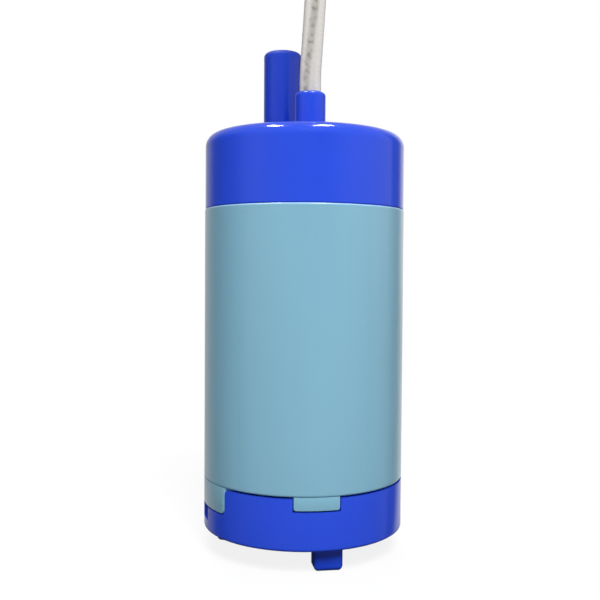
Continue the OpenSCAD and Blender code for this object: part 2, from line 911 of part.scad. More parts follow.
module commutator_hub() {
    color("saddlebrown") ring(comm_hub_r, shaft_r + press_fit, z_comm, z_comm_end);
}

module commutator_segments() {
    color("peru")
        for (k = [0 : pole_count - 1])
            facing((k + 0.5) * 360 / pole_count)
                arc_block(comm_r, comm_hub_r + press_fit, z_comm + comm_inset, z_comm_end - comm_inset,
                    180 / pole_count - asin(comm_slot / 2 / comm_r));
}

// Motor

module motor_can() {
    color("lightgray")
        difference() {
            union() {
                ring(can_r, can_ir, z_can, z_rim_can);
                translate([0, 0, z_can]) cylinder(r = can_r, h = can_wall);
                translate([0, 0, z_can - can_boss_drop])
                    cylinder(r = can_boss_r, h = can_boss_drop + can_wall / 2);
                translate([0, 0, z_can])
                    cylinder(r = bush_r + bush_seat, h = z_front_bush + bush_len - z_can);
            }
            translate([0, 0, z_front_bush - 2]) cylinder(r = bush_r + press_fit, h = bush_len + 4);
            for (a = [90, 270])
                facing(a)
                    translate([0, -motor_screw_pitch, z_can - 1])
                        cylinder(r = motor_screw_r + press_fit, h = can_wall + 2);
        }
}

module field_magnets() {
    color("darkslategray")
        for (a = [0, 180])
            facing(a)
                arc_block(magnet_r, magnet_r - magnet_t, z_core - magnet_over, z_core_end + magnet_over,
                    magnet_half);
}

module bush(z) {
    color("darkgoldenrod") ring(bush_r, shaft_r + run_fit, z, z + bush_len);
}

module end_bell() {
    guide_len = guide_to - guide_from;
    guide_mid = (guide_from + guide_to) / 2;
    guide_w = brush_w + 2 * guide_wall;
    bore = brush_w + 2 * guide_fit;
    slot = [tag_t + 2 * guide_fit, tag_w + 2 * guide_fit, bell_plate + 2 * bell_step];
    color("ivory")
        difference() {
            union() {
                translate([0, 0, z_bell_low]) cylinder(r = can_ir - bell_fit, h = bell_step + tiny);
                translate([0, 0, z_rim_can]) cylinder(r = can_r, h = bell_plate);
                translate([0, 0, z_bell_low]) cylinder(r = bell_hub_r, h = z_bell_top - z_bell_low);
                for (s = [-1, 1])
                    translate([s * guide_mid - guide_len / 2, -guide_w / 2, z_brush - guide_wall])
                        cube([guide_len, guide_w, brush_drop + guide_wall + tiny]);
            }
            translate([0, 0, z_bell_low - 1])
                cylinder(r = bush_r + press_fit, h = z_rear_bush + bush_len - z_bell_low + 1);
            for (s = [-1, 1]) {
                translate([s * guide_mid, 0, z_brush + brush_w / 2])
                    cube([guide_len + 2, bore, bore], center = true);
                translate([s * (tag_x + tag_t / 2), 0, (z_bell_low + z_bell) / 2])
                    cube(slot, center = true);
            }
        }
}

module brushes() {
    color("black")
        for (a = [90, 270])
            facing(a)
                difference() {
                    translate([-brush_w / 2, -brush_back, z_brush]) cube([brush_w, brush_len, brush_w]);
                    translate([0, 0, z_brush - 1]) cylinder(r = comm_r + brush_gap, h = brush_w + 2);
                }
}

// A leaf folded like a letter Z between the brush and the terminal
module brush_springs() {
    low = brush_back + guide_fit;
    high = tag_x - guide_fit;
    half = brush_w / 2 - leaf_inset;
    color("silver")
        for (a = [0, 180])
            rotate([0, 0, a])
                translate([0, 0, z_brush + leaf_inset])
                    linear_extrude(2 * half) {
                        translate([low, -half]) square([leaf_t, 2 * half]);
                        translate([high - leaf_t, -half]) square([leaf_t, 2 * half]);
                        polygon([
                            [low, half], [low + 2 * leaf_t, half],
                            [high, -half], [high - 2 * leaf_t, -half]
                        ]);
                    }
}

module terminals() {
    color("gold")
        for (a = [0, 180])
            rotate([0, 0, a])
                translate([tag_x, -tag_w / 2, z_brush])
                    cube([tag_t, tag_w, z_bell + tag_rise - z_brush]);
}

module suppressor_capacitor() {
    lead_x = tag_x + tag_t / 2;
    back_run = capacitor_lead_y + capacitor_lead_r - tag_w / 2;
    color("darkorange") {
        translate([-capacitor[0] / 2, capacitor_y, z_bell]) cube(capacitor);
        for (s = [-1, 1]) {
            translate([s * (capacitor[0] / 2 - tiny), capacitor_lead_y, capacitor_lead_z])
                rotate([0, s * 90, 0])
                    cylinder(r = capacitor_lead_r, h = lead_x - capacitor[0] / 2 + tiny, $fn = 24);
            translate([s * lead_x, capacitor_lead_y + capacitor_lead_r, capacitor_lead_z])
                rotate([90, 0, 0])
                    cylinder(r = capacitor_lead_r, h = back_run, $fn = 24);
        }
    }
}

module motor_screws() {
    z_head = z_volute + head_sink - motor_head_h;
    color("silver")
        for (a = [90, 270])
            facing(a)
                translate([0, -motor_screw_pitch, z_head]) {
                    difference() {
                        cylinder(r = motor_head_r, h = motor_head_h);
                        driver_cut(motor_head_r);
                    }
                    translate([0, 0, motor_head_h - tiny])
                        cylinder(r = motor_screw_r, h = z_can + can_wall - z_head - motor_head_h + tiny);
                }
}

module motor_pot() {
    color("gainsboro")
        difference() {
            union() {
                ring(pot_r, pot_ir, z_deck, z_pot_roof + tiny);
                translate([0, 0, z_pot_roof]) cylinder(r = pot_r, h = pot_roof);
                for (a = fin_angles)
                    facing(a)
                        translate([-fin_t / 2, -plug_r, z_plug - fin_h])
                            cube([fin_t, plug_r - pot_r + fin_root, fin_h]);
            }
            translate([boss_x, boss_y, z_pot_roof - 1])
                cylinder(r = grommet_neck + press_fit, h = pot_roof + 2);
        }
}

module pot_o_ring() {
    color("dimgray") sealing_ring(pot_ir, z_pot_ring);
}

// Cable

module cable_grommet() {
    color("black")
        translate([boss_x, boss_y, 0])
            difference() {
                union() {
                    translate([0, 0, z_pot_roof - grommet_lip])
                        cylinder(r = grommet_neck, h = pot_roof + 2 * grommet_lip);
                    for (z = [z_pot_roof - grommet_lip, z_pot_roof + pot_roof])
                        translate([0, 0, z]) cylinder(r = grommet_neck + grommet_flange, h = grommet_lip);
                }
                translate([0, 0, z_pot_roof - 5])
                    linear_extrude(pot_roof + 10)
                        cable_outline(press_fit);
            }
}

module gland_seal() {
    z_low = z_top - gland_drop;
    color("black")
        translate([boss_x, boss_y, z_low])
            difference() {
                cylinder(r = gland_r - press_fit, h = z_mouth - gland_lip - z_low);
                translate([0, 0, -1]) linear_extrude(z_mouth) cable_outline(press_fit);
            }
}

module inner_cable() {
    color("whitesmoke")
        translate([boss_x, boss_y, z_strip])
            linear_extrude(z_mouth - z_strip)
                cable_outline(0);
}

module inner_leads() {
    color("firebrick")
        for (side = [-1, 1])
            swept(lead_path(side), [for (p = lead_path(side)) [0, 1, 0]], core_section);
}

module supply_cable() {
    color("whitesmoke") swept(cable_path, cable_sides, cable_section);
}

module cable_coil() {
    color("whitesmoke") swept(coil_path, coil_sides, cable_section);
}

// A band round all turns of the coil, with its head on top
module cable_tie() {
    outer_turn = coil_radius(tie_angle) + cable_t / 2 + tie_gap;
    inner_turn = coil_radius(tie_angle + 720) - cable_t / 2 - 2 * tie_gap;
    z_high = coil_z + cable_w / 2 + tie_gap;
    color("black")
        translate([coil_mid[0], coil_mid[1], 0])
            facing(-tie_angle)
                difference() {
                    union() {
                        translate([-tie_w / 2, -outer_turn - tie_t, 0])
                            cube([tie_w, outer_turn - inner_turn + 2 * tie_t, z_high + tie_t]);
                        translate([-tie_head / 2, -(outer_turn + inner_turn + tie_head) / 2, z_high])
                            cube([tie_head, tie_head, tie_t + tie_head / 2]);
                    }
                    translate([-tie_w, -outer_turn, tie_t])
                        cube([2 * tie_w, outer_turn - inner_turn, z_high - tie_t]);
                }
}

module core_tails() {
    color("firebrick")
        for (path = tail_paths)
            swept(path, [for (p = path) [0, 0, 1]], core_section);
}

module tinned_ends() {
    color("silver")
        for (path = tail_paths) {
            run = tangent(path, len(path) - 1);
            translate(path[len(path) - 1])
                rotate([0, 90, atan2(run[1], run[0])])
                    cylinder(r = tip_r, h = tip_len, $fn = 32);
        }
}

top_cap();
cap_o_ring();
outer_tube();
pump_housing();
housing_o_ring();
base();
inlet_plate();
inlet_plate_screws();
impeller();
shaft();
shaft_seal();
thrust_washers();
spacer_collar();
armature_core();
armature_windings();
commutator_hub();
commutator_segments();
motor_can();
field_magnets();
bush(z_front_bush);  // front_bearing
bush(z_rear_bush);  // rear_bearing
end_bell();
brushes();
brush_springs();
terminals();
suppressor_capacitor();
motor_screws();
motor_pot();
pot_o_ring();
cable_grommet();
gland_seal();
inner_cable();
inner_leads();
supply_cable();
cable_coil();
cable_tie();
core_tails();
tinned_ends();
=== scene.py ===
# %% [markdown]
# A submersible pump for a caravan's water tank: a pale tube between a blue cap and a blue strainer base.
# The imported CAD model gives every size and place. This lesson loads it as a fixed frame, models again the
# pieces that show, and gives all the pieces their finish. Lengths are in millimetres until a piece is
# finished.

# %% Load the frame
import json
import math

import bmesh
import bpy
from mathutils import Matrix, Vector
from mathutils.geometry import interpolate_bezier


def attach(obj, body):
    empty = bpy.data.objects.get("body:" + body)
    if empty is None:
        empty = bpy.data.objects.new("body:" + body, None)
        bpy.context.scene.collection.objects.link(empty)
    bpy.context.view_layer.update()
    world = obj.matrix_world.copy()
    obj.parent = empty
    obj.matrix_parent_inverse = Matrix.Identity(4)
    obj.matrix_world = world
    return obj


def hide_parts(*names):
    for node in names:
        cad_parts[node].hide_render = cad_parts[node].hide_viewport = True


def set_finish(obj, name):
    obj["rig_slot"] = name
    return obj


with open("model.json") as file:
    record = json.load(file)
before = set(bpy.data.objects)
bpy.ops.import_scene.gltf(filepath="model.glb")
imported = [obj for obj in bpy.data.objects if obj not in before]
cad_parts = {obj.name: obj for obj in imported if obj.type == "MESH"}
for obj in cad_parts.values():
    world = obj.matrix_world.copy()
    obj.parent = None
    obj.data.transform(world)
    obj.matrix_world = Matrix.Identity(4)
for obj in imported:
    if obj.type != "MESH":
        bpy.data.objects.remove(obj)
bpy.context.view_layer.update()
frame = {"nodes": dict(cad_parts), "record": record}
MM = 0.001

# %% [markdown]
# The camera stands where the photographer's stood. It was fitted to the outlines of the tube, cap and base,
# so it needs a place, a small turn, tilt and roll, and a lens. Building its axes by hand keeps the three
# turns in plain order: first left or right, then down, then round the line of sight.

# %% Camera
EYE = Vector((0.0, -263.4, 84.56)) * MM
TURN, TILT, ROLL = -0.0044695, 0.031518, 0.0066013
FOCAL_PIXELS, FRAME_PIXELS, SENSOR = 849.22, 600, 36


def camera_axes(turn, tilt, roll):
    right = Vector((math.cos(turn), -math.sin(turn), 0))
    level = Vector((math.sin(turn), math.cos(turn), 0))
    ahead = level * math.cos(tilt) - Vector((0, 0, math.sin(tilt)))
    up = right.cross(ahead)
    rolled_right = right * math.cos(roll) + up * math.sin(roll)
    rolled_up = up * math.cos(roll) - right * math.sin(roll)
    return Matrix((rolled_right, rolled_up, -ahead)).transposed().to_4x4()


scene = bpy.context.scene
camera = bpy.data.objects.new("camera", bpy.data.cameras.new("camera"))
camera.data.sensor_width = SENSOR
camera.data.lens = FOCAL_PIXELS * SENSOR / FRAME_PIXELS
camera.matrix_world = Matrix.Translation(EYE) @ camera_axes(TURN, TILT, ROLL)
scene.collection.objects.link(camera)
scene.camera = camera
print("lens", round(camera.data.lens, 2), "mm")

# %% [markdown]
# The supply lead is a flat twin cable. It stands up out of the boss, arches over the back, falls behind the
# pump and lies on the ground in a flat coil of three turns. A curve with a bevel would twist as it likes,
# so the route is kept as points with a side direction each, and Bezier segments between them make it
# smooth.

# %% Route of the supply lead
CABLE_WIDTH, CABLE_THICK, CABLE_WAIST = 6.4, 3.2, 2.2
MOUTH = Vector((1.5, -10, 138))
ARCH = [
    (0, 0, 0), (0, 0, 5), (0.4, 0, 12), (0.9, 0, 20), (1.3, 0, 27), (1.6, 0.4, 34), (1.9, 3, 45),
    (2.2, 9.5, 54.5), (2.4, 19, 60.5), (2.5, 31, 63), (2.5, 43, 60.5), (2.4, 52.5, 54.5), (2, 59, 45),
    (1.3, 62, 32), (0.5, 62, 17), (-0.3, 62, 2),
]
FALL = [
    (0.9, 51, 122), (-0.6, 47.6, 100), (-2.2, 44, 78), (-3.2, 42, 58), (-3.4, 41.6, 38.3), (-5, 42.1, 27.8),
    (-9.5, 43.7, 18.3), (-16.1, 47.3, 10.8), (-23.2, 53.6, 6),
]
COIL_MIDDLE, COIL_LEVEL = Vector((0, 90, 0)), 4.3
COIL_RADIUS, COIL_PITCH, COIL_TUCK, COIL_STEPS = 37.8, 3.75, 1.2, 77
COIL_START, COIL_END = 65, 65 + 360 * 3.2
ROUTE_STEP = 2.2


def coil_radius(turn):
    tuck = COIL_TUCK * (max(0, turn - COIL_END + 90) / 90) ** 2
    return COIL_RADIUS - COIL_PITCH * (turn - COIL_START) / 360 - tuck


def coil_point(turn, radius, level):
    angle = math.radians(turn)
    return COIL_MIDDLE + Vector((-radius * math.sin(angle), -radius * math.cos(angle), level))


def coil_heading(turn):
    angle = math.radians(turn)
    return Vector((-math.cos(angle), math.sin(angle), 0))


def headings(points):
    found = []
    for i in range(len(points)):
        before = points[i] - points[max(i - 1, 0)]
        after = points[min(i + 1, len(points) - 1)] - points[i]
        share = before.normalized() * after.length + after.normalized() * before.length
        found.append((share if share.length else before + after).normalized())
    return found


def smooth_route(points, sides, step):
    ways = headings(points)
    fine, fine_sides = [], []
    for i in range(len(points) - 1):
        gap = (points[i + 1] - points[i]).length
        count = max(2, math.ceil(gap / step) + 1)
        start_handle = points[i] + ways[i] * gap / 3
        end_handle = points[i + 1] - ways[i + 1] * gap / 3
        knots = interpolate_bezier(points[i], start_handle, end_handle, points[i + 1], count)
        fine += knots[:-1]
        fine_sides += [sides[i].lerp(sides[i + 1], k / (count - 1)) for k in range(count - 1)]
    return fine + [points[-1]], fine_sides + [sides[-1]]


coil_turns = [COIL_START + (COIL_END - COIL_START) * i / COIL_STEPS for i in range(COIL_STEPS + 1)]
coil_points = [coil_point(turn, coil_radius(turn), COIL_LEVEL) for turn in coil_turns]
coil_in = coil_points[0] - CABLE_WIDTH * coil_heading(COIL_START)
coil_way = (coil_points[-1] - coil_point(COIL_END - 1, coil_radius(COIL_END - 1), COIL_LEVEL)).normalized()
coil_out = coil_points[-1] + CABLE_THICK * coil_way
free_points = [MOUTH + Vector(p) for p in ARCH] + [Vector(p) for p in FALL]
free_points += [coil_in - CABLE_WIDTH * coil_heading(COIL_START), coil_in]
lead_points = free_points + coil_points + [coil_out]
lead_sides = []
for i, (point, way) in enumerate(zip(lead_points, headings(lead_points))):
    outward = (point - COIL_MIDDLE).to_2d().to_3d().normalized()
    if i < len(ARCH):
        lead_sides.append(Vector((1, 0, 0)))
    elif i < len(free_points):
        lead_sides.append(outward.cross(way))
    else:
        lead_sides.append(Vector((0, 0, -1)))
lead_route, lead_route_sides = smooth_route(lead_points, lead_sides, ROUTE_STEP)
lead_length = sum((b - a).length for a, b in zip(lead_route, lead_route[1:]))
print("sheath", round(lead_length), "mm in", len(lead_route), "rings")

# %% [markdown]
# A cable is its outline pulled along a route. Here the first ring is extruded again and again, and each new
# ring is carried from one frame of the route to the next. Two numbers stay on the vertices for the finish:
# how far along the cable a point is, and how far across its width.

# %% Sweep an outline along a route
def frames_along(route, sides):
    made = []
    for point, way, side in zip(route, headings(route), sides):
        across = (side - side.dot(way) * way).normalized()
        axes = Matrix((across, way.cross(across), way)).transposed().to_4x4()
        made.append(Matrix.Translation(point) @ axes)
    return made


def extrude_loop(bm, edges):
    grown = bmesh.ops.extrude_edge_only(bm, edges=edges)["geom"]
    verts = [item for item in grown if isinstance(item, bmesh.types.BMVert)]
    known = set(verts)
    rim = [item for item in grown if isinstance(item, bmesh.types.BMEdge) and known.issuperset(item.verts)]
    return verts, rim


def sweep(bm, outline, frames):
    along = bm.verts.layers.float.get("along") or bm.verts.layers.float.new("along")
    across = bm.verts.layers.float.get("across") or bm.verts.layers.float.new("across")
    half = max(abs(x) for x, y in outline)
    ring = []
    for x, y in outline:
        vert = bm.verts.new(frames[0] @ Vector((x, y, 0)))
        vert[across] = x / half
        ring.append(vert)
    edges = [bm.edges.new((ring[i - 1], ring[i])) for i in range(len(ring))]
    bmesh.ops.edgeloop_fill(bm, edges=edges)
    run = 0.0
    for before, after in zip(frames, frames[1:]):
        verts, edges = extrude_loop(bm, edges)
        bmesh.ops.transform(bm, matrix=after @ before.inverted(), verts=verts)
        run += (after.translation - before.translation).length
        for vert in verts:
            vert[along] = run * MM
    bmesh.ops.edgeloop_fill(bm, edges=edges)


def circle_outline(radius, count):
    angles = [math.tau * k / count for k in range(count)]
    return [(radius * math.cos(angle), radius * math.sin(angle)) for angle in angles]


def finish_piece(bm, name, body, slot, nodes, sharp=35):
    bmesh.ops.scale(bm, vec=(MM, MM, MM), verts=bm.verts)
    bmesh.ops.recalc_face_normals(bm, faces=bm.faces)
    mesh = bpy.data.meshes.new(name)
    bm.to_mesh(mesh)
    bm.free()
    mesh.shade_smooth()
    mesh.set_sharp_from_angle(angle=math.radians(sharp))
    piece = bpy.data.objects.new(name, mesh)
    scene.collection.objects.link(piece)
    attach(piece, body)
    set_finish(piece, slot)
    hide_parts(*nodes)
    print(name, len(mesh.polygons), "faces")
    return piece


# %% [markdown]
# The outline is a figure of eight: two round cores side by side, joined by a web that is thinner than they
# are.

# %% Supply lead
LOBE_ANGLES = range(-130, 131, 20)


def twin_outline():
    radius = CABLE_THICK / 2
    points = []
    for sign in (1, -1):
        for angle in LOBE_ANGLES:
            a = math.radians(angle)
            x = CABLE_WIDTH / 2 - radius + radius * math.cos(a)
            points.append((sign * x, sign * radius * math.sin(a)))
        points.append((0, sign * CABLE_WAIST / 2))
    return points


bm = bmesh.new()
sweep(bm, twin_outline(), frames_along(lead_route, lead_route_sides))
lead_nodes = ["supply_cable", "cable_coil"]
supply_lead = finish_piece(bm, "supply_lead", "pump", "cable_sheath", lead_nodes, sharp=60)

# %% [markdown]
# At the coil's end the web is split, so the two cores part and droop to the ground. Their bared tips are
# seven tinned strands with a twist, each one a thin sweep of its own.

# %% Split cores and stranded tips
CORE_RADIUS, TIP_RADIUS, TIP_LENGTH = 1.3, 0.8, 8
STRAND_RADIUS, STRAND_TURN, STRAND_STEPS = 0.27, 200, 12
TAIL_RISE = (CABLE_WIDTH - CABLE_THICK) / 2
TAILS = {
    TAIL_RISE: [(0.6, 24, 0.9), (0.3, 36, 0.6), (-0.1, 48, 0.25), (-0.6, 60, 0.04), (-1.1, 72, 0)],
    -TAIL_RISE: [(-0.3, 24, 0.9), (-2, 36, 0.6), (-3.8, 48, 0.25), (-5.6, 60, 0.04), (-7.4, 72, 0)],
}


def tail_points(rise, shape):
    points = [coil_out + run * coil_way + Vector((0, 0, rise)) for run in (0, 2 * CORE_RADIUS)]
    for inward, turn, share in shape:
        level = CORE_RADIUS + (COIL_LEVEL + rise - CORE_RADIUS) * share
        points.append(coil_point(COIL_END + turn, coil_radius(COIL_END) + inward, level))
    return points


tails = bmesh.new()
tips = bmesh.new()
for rise, shape in TAILS.items():
    points = tail_points(rise, shape)
    route, sides = smooth_route(points, [Vector((0, 0, 1))] * len(points), 1.5)
    sweep(tails, circle_outline(CORE_RADIUS, 16), frames_along(route, sides))
    end_frame = frames_along(route, sides)[-1]
    for strand in range(7):
        reach = (TIP_RADIUS - STRAND_RADIUS) if strand else 0
        twist = []
        for k in range(STRAND_STEPS + 1):
            angle = math.radians(60 * strand + STRAND_TURN * k / STRAND_STEPS)
            spread = Vector((reach * math.cos(angle), reach * math.sin(angle), TIP_LENGTH * k / STRAND_STEPS))
            twist.append(end_frame @ spread)
        sweep(tips, circle_outline(STRAND_RADIUS, 8), frames_along(twist, [Vector((0, 0, 1))] * len(twist)))
lead_tails = finish_piece(tails, "lead_tails", "pump", "lead_sheath", ["core_tails"], sharp=60)
stranded_tips = finish_piece(tips, "stranded_tips", "pump", "tin", ["tinned_ends"], sharp=60)

# %% [markdown]
# A strap tie holds the turns together. Its band starts as one rectangle of edges: bevelled corners, a pull
# to its width, and a wall to the inside. The head is a bevelled block with the strap's cut end standing out
# of it.

# %% Cable tie
TIE_TURN, TIE_THICK, TIE_GAP, TIE_WIDTH, TIE_HEAD = 250, 0.8, 0.3, 4, 5
TIE_CORNER, TIE_EDGE = 1.6, 0.12
HEAD_HIGH, HEAD_RISE, HEAD_EDGE = 2.5, 1.15, 0.5
END_LENGTH, END_REACH, END_RISE, END_EDGE = 5.2, 3.2, 1.0, 0.15


def round_loop(bm, edges, offset, segments):
    bmesh.ops.bevel(
        bm, geom=edges, offset=offset, segments=segments, profile=0.5, affect="EDGES", material=-1,
        clamp_overlap=True,
    )


def rounded_box(bm, size, middle, edge, segments=3):
    made = bmesh.ops.create_cube(bm, size=1)["verts"]
    bmesh.ops.scale(bm, vec=size, verts=made)
    bmesh.ops.translate(bm, vec=middle, verts=made)
    edges = list({e for v in made for e in v.link_edges})
    round_loop(bm, edges, edge, segments)


tie_far = -(coil_radius(TIE_TURN) + CABLE_THICK / 2 + TIE_GAP + TIE_THICK)
tie_near = -(coil_radius(TIE_TURN + 720) - CABLE_THICK / 2 - 2 * TIE_GAP - TIE_THICK)
tie_top = COIL_LEVEL + CABLE_WIDTH / 2 + TIE_GAP + TIE_THICK
bm = bmesh.new()
corners = [(tie_far, 0), (tie_near, 0), (tie_near, tie_top), (tie_far, tie_top)]
verts = [bm.verts.new((-TIE_WIDTH / 2, y, z)) for y, z in corners]
for i in range(4):
    bm.edges.new((verts[i - 1], verts[i]))
bmesh.ops.bevel(bm, geom=verts, offset=TIE_CORNER, segments=5, profile=0.5, affect="VERTICES", material=-1)
pulled = extrude_loop(bm, bm.edges[:])[0]
bmesh.ops.translate(bm, vec=(TIE_WIDTH, 0, 0), verts=pulled)
bmesh.ops.recalc_face_normals(bm, faces=bm.faces)
bmesh.ops.solidify(bm, geom=bm.faces[:], thickness=TIE_THICK)
sharp_edges = [e for e in bm.edges if e.calc_face_angle(0) > math.radians(60)]
bmesh.ops.bevel(bm, geom=sharp_edges, offset=TIE_EDGE, segments=2, profile=0.5, affect="EDGES", material=-1)
head_middle = (tie_far + tie_near) / 2
rounded_box(bm, (TIE_HEAD, TIE_HEAD, HEAD_HIGH), (0, head_middle, tie_top + HEAD_RISE), HEAD_EDGE)
end_middle = (0, head_middle - END_REACH, tie_top + END_RISE)
rounded_box(bm, (TIE_WIDTH, END_LENGTH, TIE_THICK), end_middle, END_EDGE, 2)
tie_place = Matrix.Translation(COIL_MIDDLE) @ Matrix.Rotation(math.radians(-TIE_TURN), 4, "Z")
bmesh.ops.transform(bm, matrix=tie_place, verts=bm.verts)
coil_tie = finish_piece(bm, "coil_tie", "pump", "tie_plastic", ["cable_tie"])

# %% [markdown]
# The route of the lead's middle line, scaled to metres.

[point * MM for point in lead_route]

# %% [markdown]
# The cap is one blue moulding: a cup with a rounded rim, the hose spigot and the cable boss. Its side is a
# profile spun round the axis. Both posts grow out of circles on the roof, and the flat roof between the
# circles is filled, so the whole cap stays one closed skin without cutting. A holding loop beside each
# rounded edge keeps the long sides shaded straight.

# %% Cap
ROUND, HOLD = 192, 0.3
CAP_RADIUS, CAP_LOW, CAP_TOP, CAP_ROOF = 30.4, 104.1, 126.7, 124.2
CAP_EDGE, CAP_LIP = 4, 0.1
ROOF_RING = 22
PLUG_RADIUS, PLUG_INSIDE, PLUG_LOW = 28.3, 25.3, 94
CAP_INSIDE, CAP_SHOULDER = 28, 107
GROOVE_BOTTOM, GROOVE_LOW, GROOVE_HIGH = 26.7, 97.85, 100.15
SPIGOT_MIDDLE, SPIGOT_RADIUS, SPIGOT_BORE = Vector((-7.2, 10, 0)), 6, 4.25
SPIGOT_TOP, SPIGOT_EDGE = 154.6, 1.6
BOSS_MIDDLE, BOSS_RADIUS, BOSS_TOP, BOSS_EDGE = Vector((1.5, -10, 0)), 4.6, 138, 1.2
GLAND_RADIUS, GLAND_TOP, SLOT_PLAY = 3.8, 134, 0.15
POST_SIDES, GLAND_SIDES = 64, 48


def spin_profile(bm, profile, closed=False):
    verts = [bm.verts.new((0, -r, z)) for r, z in profile]
    edges = [bm.edges.new(pair) for pair in zip(verts, verts[1:])]
    if closed:
        edges.append(bm.edges.new((verts[-1], verts[0])))
    bmesh.ops.spin(
        bm, geom=verts + edges, cent=(0, 0, 0), axis=(0, 0, 1), dvec=(0, 0, 0), angle=math.tau, steps=ROUND,
        use_merge=True,
    )


def loop_at(bm, radius, level, middle=Vector((0, 0, 0))):
    def on_loop(vert):
        off_radius = (vert.co - middle).to_2d().length - radius
        return abs(vert.co.z - level) < 0.01 and abs(off_radius) < 0.01

    return [edge for edge in bm.edges if all(on_loop(vert) for vert in edge.verts)]


def circle_at(bm, middle, radius, level, count):
    made = bmesh.ops.create_circle(bm, cap_ends=False, radius=radius, segments=count)["verts"]
    bmesh.ops.translate(bm, vec=(middle.x, middle.y, level), verts=made)
    return list({edge for vert in made for edge in vert.link_edges})


def pull_loop(bm, edges, middle, level=None, grow=1.0):
    verts, rim = extrude_loop(bm, edges)
    for vert in verts:
        flat = (vert.co - middle).to_2d() * grow
        vert.co = Vector((middle.x + flat.x, middle.y + flat.y, vert.co.z if level is None else level))
    return rim


def fill_between(bm, edges):
    bmesh.ops.triangle_fill(bm, use_beauty=True, use_dissolve=False, edges=edges)


bm = bmesh.new()
spin_profile(bm, [
    (ROOF_RING, CAP_TOP), (CAP_RADIUS, CAP_TOP), (CAP_RADIUS, CAP_TOP - CAP_EDGE - HOLD),
    (CAP_RADIUS, CAP_LOW + CAP_LIP + HOLD), (CAP_RADIUS, CAP_LOW), (PLUG_RADIUS, CAP_LOW),
    (PLUG_RADIUS, GROOVE_HIGH), (GROOVE_BOTTOM, GROOVE_HIGH), (GROOVE_BOTTOM, GROOVE_LOW),
    (PLUG_RADIUS, GROOVE_LOW), (PLUG_RADIUS, PLUG_LOW), (PLUG_INSIDE, PLUG_LOW), (PLUG_INSIDE, CAP_SHOULDER),
    (CAP_INSIDE, CAP_SHOULDER), (CAP_INSIDE, CAP_ROOF), (ROOF_RING, CAP_ROOF),
])
round_loop(bm, loop_at(bm, CAP_RADIUS, CAP_TOP), CAP_EDGE, 12)
round_loop(bm, loop_at(bm, CAP_RADIUS, CAP_LOW), CAP_LIP, 2)
spigot_foot = circle_at(bm, SPIGOT_MIDDLE, SPIGOT_RADIUS, CAP_TOP, POST_SIDES)
spigot_neck = pull_loop(bm, spigot_foot, SPIGOT_MIDDLE, SPIGOT_TOP - SPIGOT_EDGE - HOLD)
spigot_rim = pull_loop(bm, spigot_neck, SPIGOT_MIDDLE, SPIGOT_TOP)
spigot_mouth = pull_loop(bm, spigot_rim, SPIGOT_MIDDLE, grow=SPIGOT_BORE / SPIGOT_RADIUS)
spigot_end = pull_loop(bm, spigot_mouth, SPIGOT_MIDDLE, CAP_ROOF)
boss_foot = circle_at(bm, BOSS_MIDDLE, BOSS_RADIUS, CAP_TOP, POST_SIDES)
boss_neck = pull_loop(bm, boss_foot, BOSS_MIDDLE, BOSS_TOP - BOSS_EDGE - HOLD)
boss_rim = pull_loop(bm, boss_neck, BOSS_MIDDLE, BOSS_TOP)
slot_verts = []
for x, y in twin_outline():
    away = Vector((x, y, 0)).normalized() * SLOT_PLAY
    slot_verts.append(bm.verts.new(BOSS_MIDDLE + Vector((x, y, BOSS_TOP)) + away))
slot_mouth = [bm.edges.new((slot_verts[i - 1], slot_verts[i])) for i in range(len(slot_verts))]
fill_between(bm, boss_rim + slot_mouth)
slot_end = pull_loop(bm, slot_mouth, BOSS_MIDDLE, GLAND_TOP)
gland_top = circle_at(bm, BOSS_MIDDLE, GLAND_RADIUS, GLAND_TOP, GLAND_SIDES)
fill_between(bm, slot_end + gland_top)
gland_end = pull_loop(bm, gland_top, BOSS_MIDDLE, CAP_ROOF)
fill_between(bm, loop_at(bm, ROOF_RING, CAP_TOP) + spigot_foot + boss_foot)
fill_between(bm, loop_at(bm, ROOF_RING, CAP_ROOF) + spigot_end + gland_end)
bmesh.ops.recalc_face_normals(bm, faces=bm.faces)
round_loop(bm, spigot_rim, SPIGOT_EDGE, 10)
round_loop(bm, boss_rim, BOSS_EDGE, 10)
cap = finish_piece(bm, "cap", "pump", "blue_plastic", ["top_cap"])

# %% [markdown]
# The tube is an extrusion, cut to length, with its cut edges broken. A closed profile is spun, and the two
# outer edges get a small bevel that catches the light.

# %% Tube
TUBE_RADIUS, TUBE_INSIDE, TUBE_LOW, TUBE_HIGH, TUBE_EDGE = 30.5, 28.5, 22.5, 104, 0.5
bm = bmesh.new()
spin_profile(bm, [
    (TUBE_INSIDE, TUBE_LOW), (TUBE_RADIUS, TUBE_LOW), (TUBE_RADIUS, TUBE_LOW + TUBE_EDGE + HOLD),
    (TUBE_RADIUS, TUBE_HIGH - TUBE_EDGE - HOLD), (TUBE_RADIUS, TUBE_HIGH), (TUBE_INSIDE, TUBE_HIGH),
], closed=True)
for level in (TUBE_LOW, TUBE_HIGH):
    round_loop(bm, loop_at(bm, TUBE_RADIUS, level), TUBE_EDGE, 3)
tube = finish_piece(bm, "tube", "pump", "pale_plastic", ["outer_tube"])

# %% [markdown]
# The strainer base is a shallow cup with notches for the housing's lugs, two side inlets, twelve floor
# slots and three feet. It starts as a sheet: a spun wall and a filled floor. Each notch is a convex
# outline, so a row of plane cuts leaves just its faces inside, and those are deleted. A wall inward then
# gives the sheet its thickness.

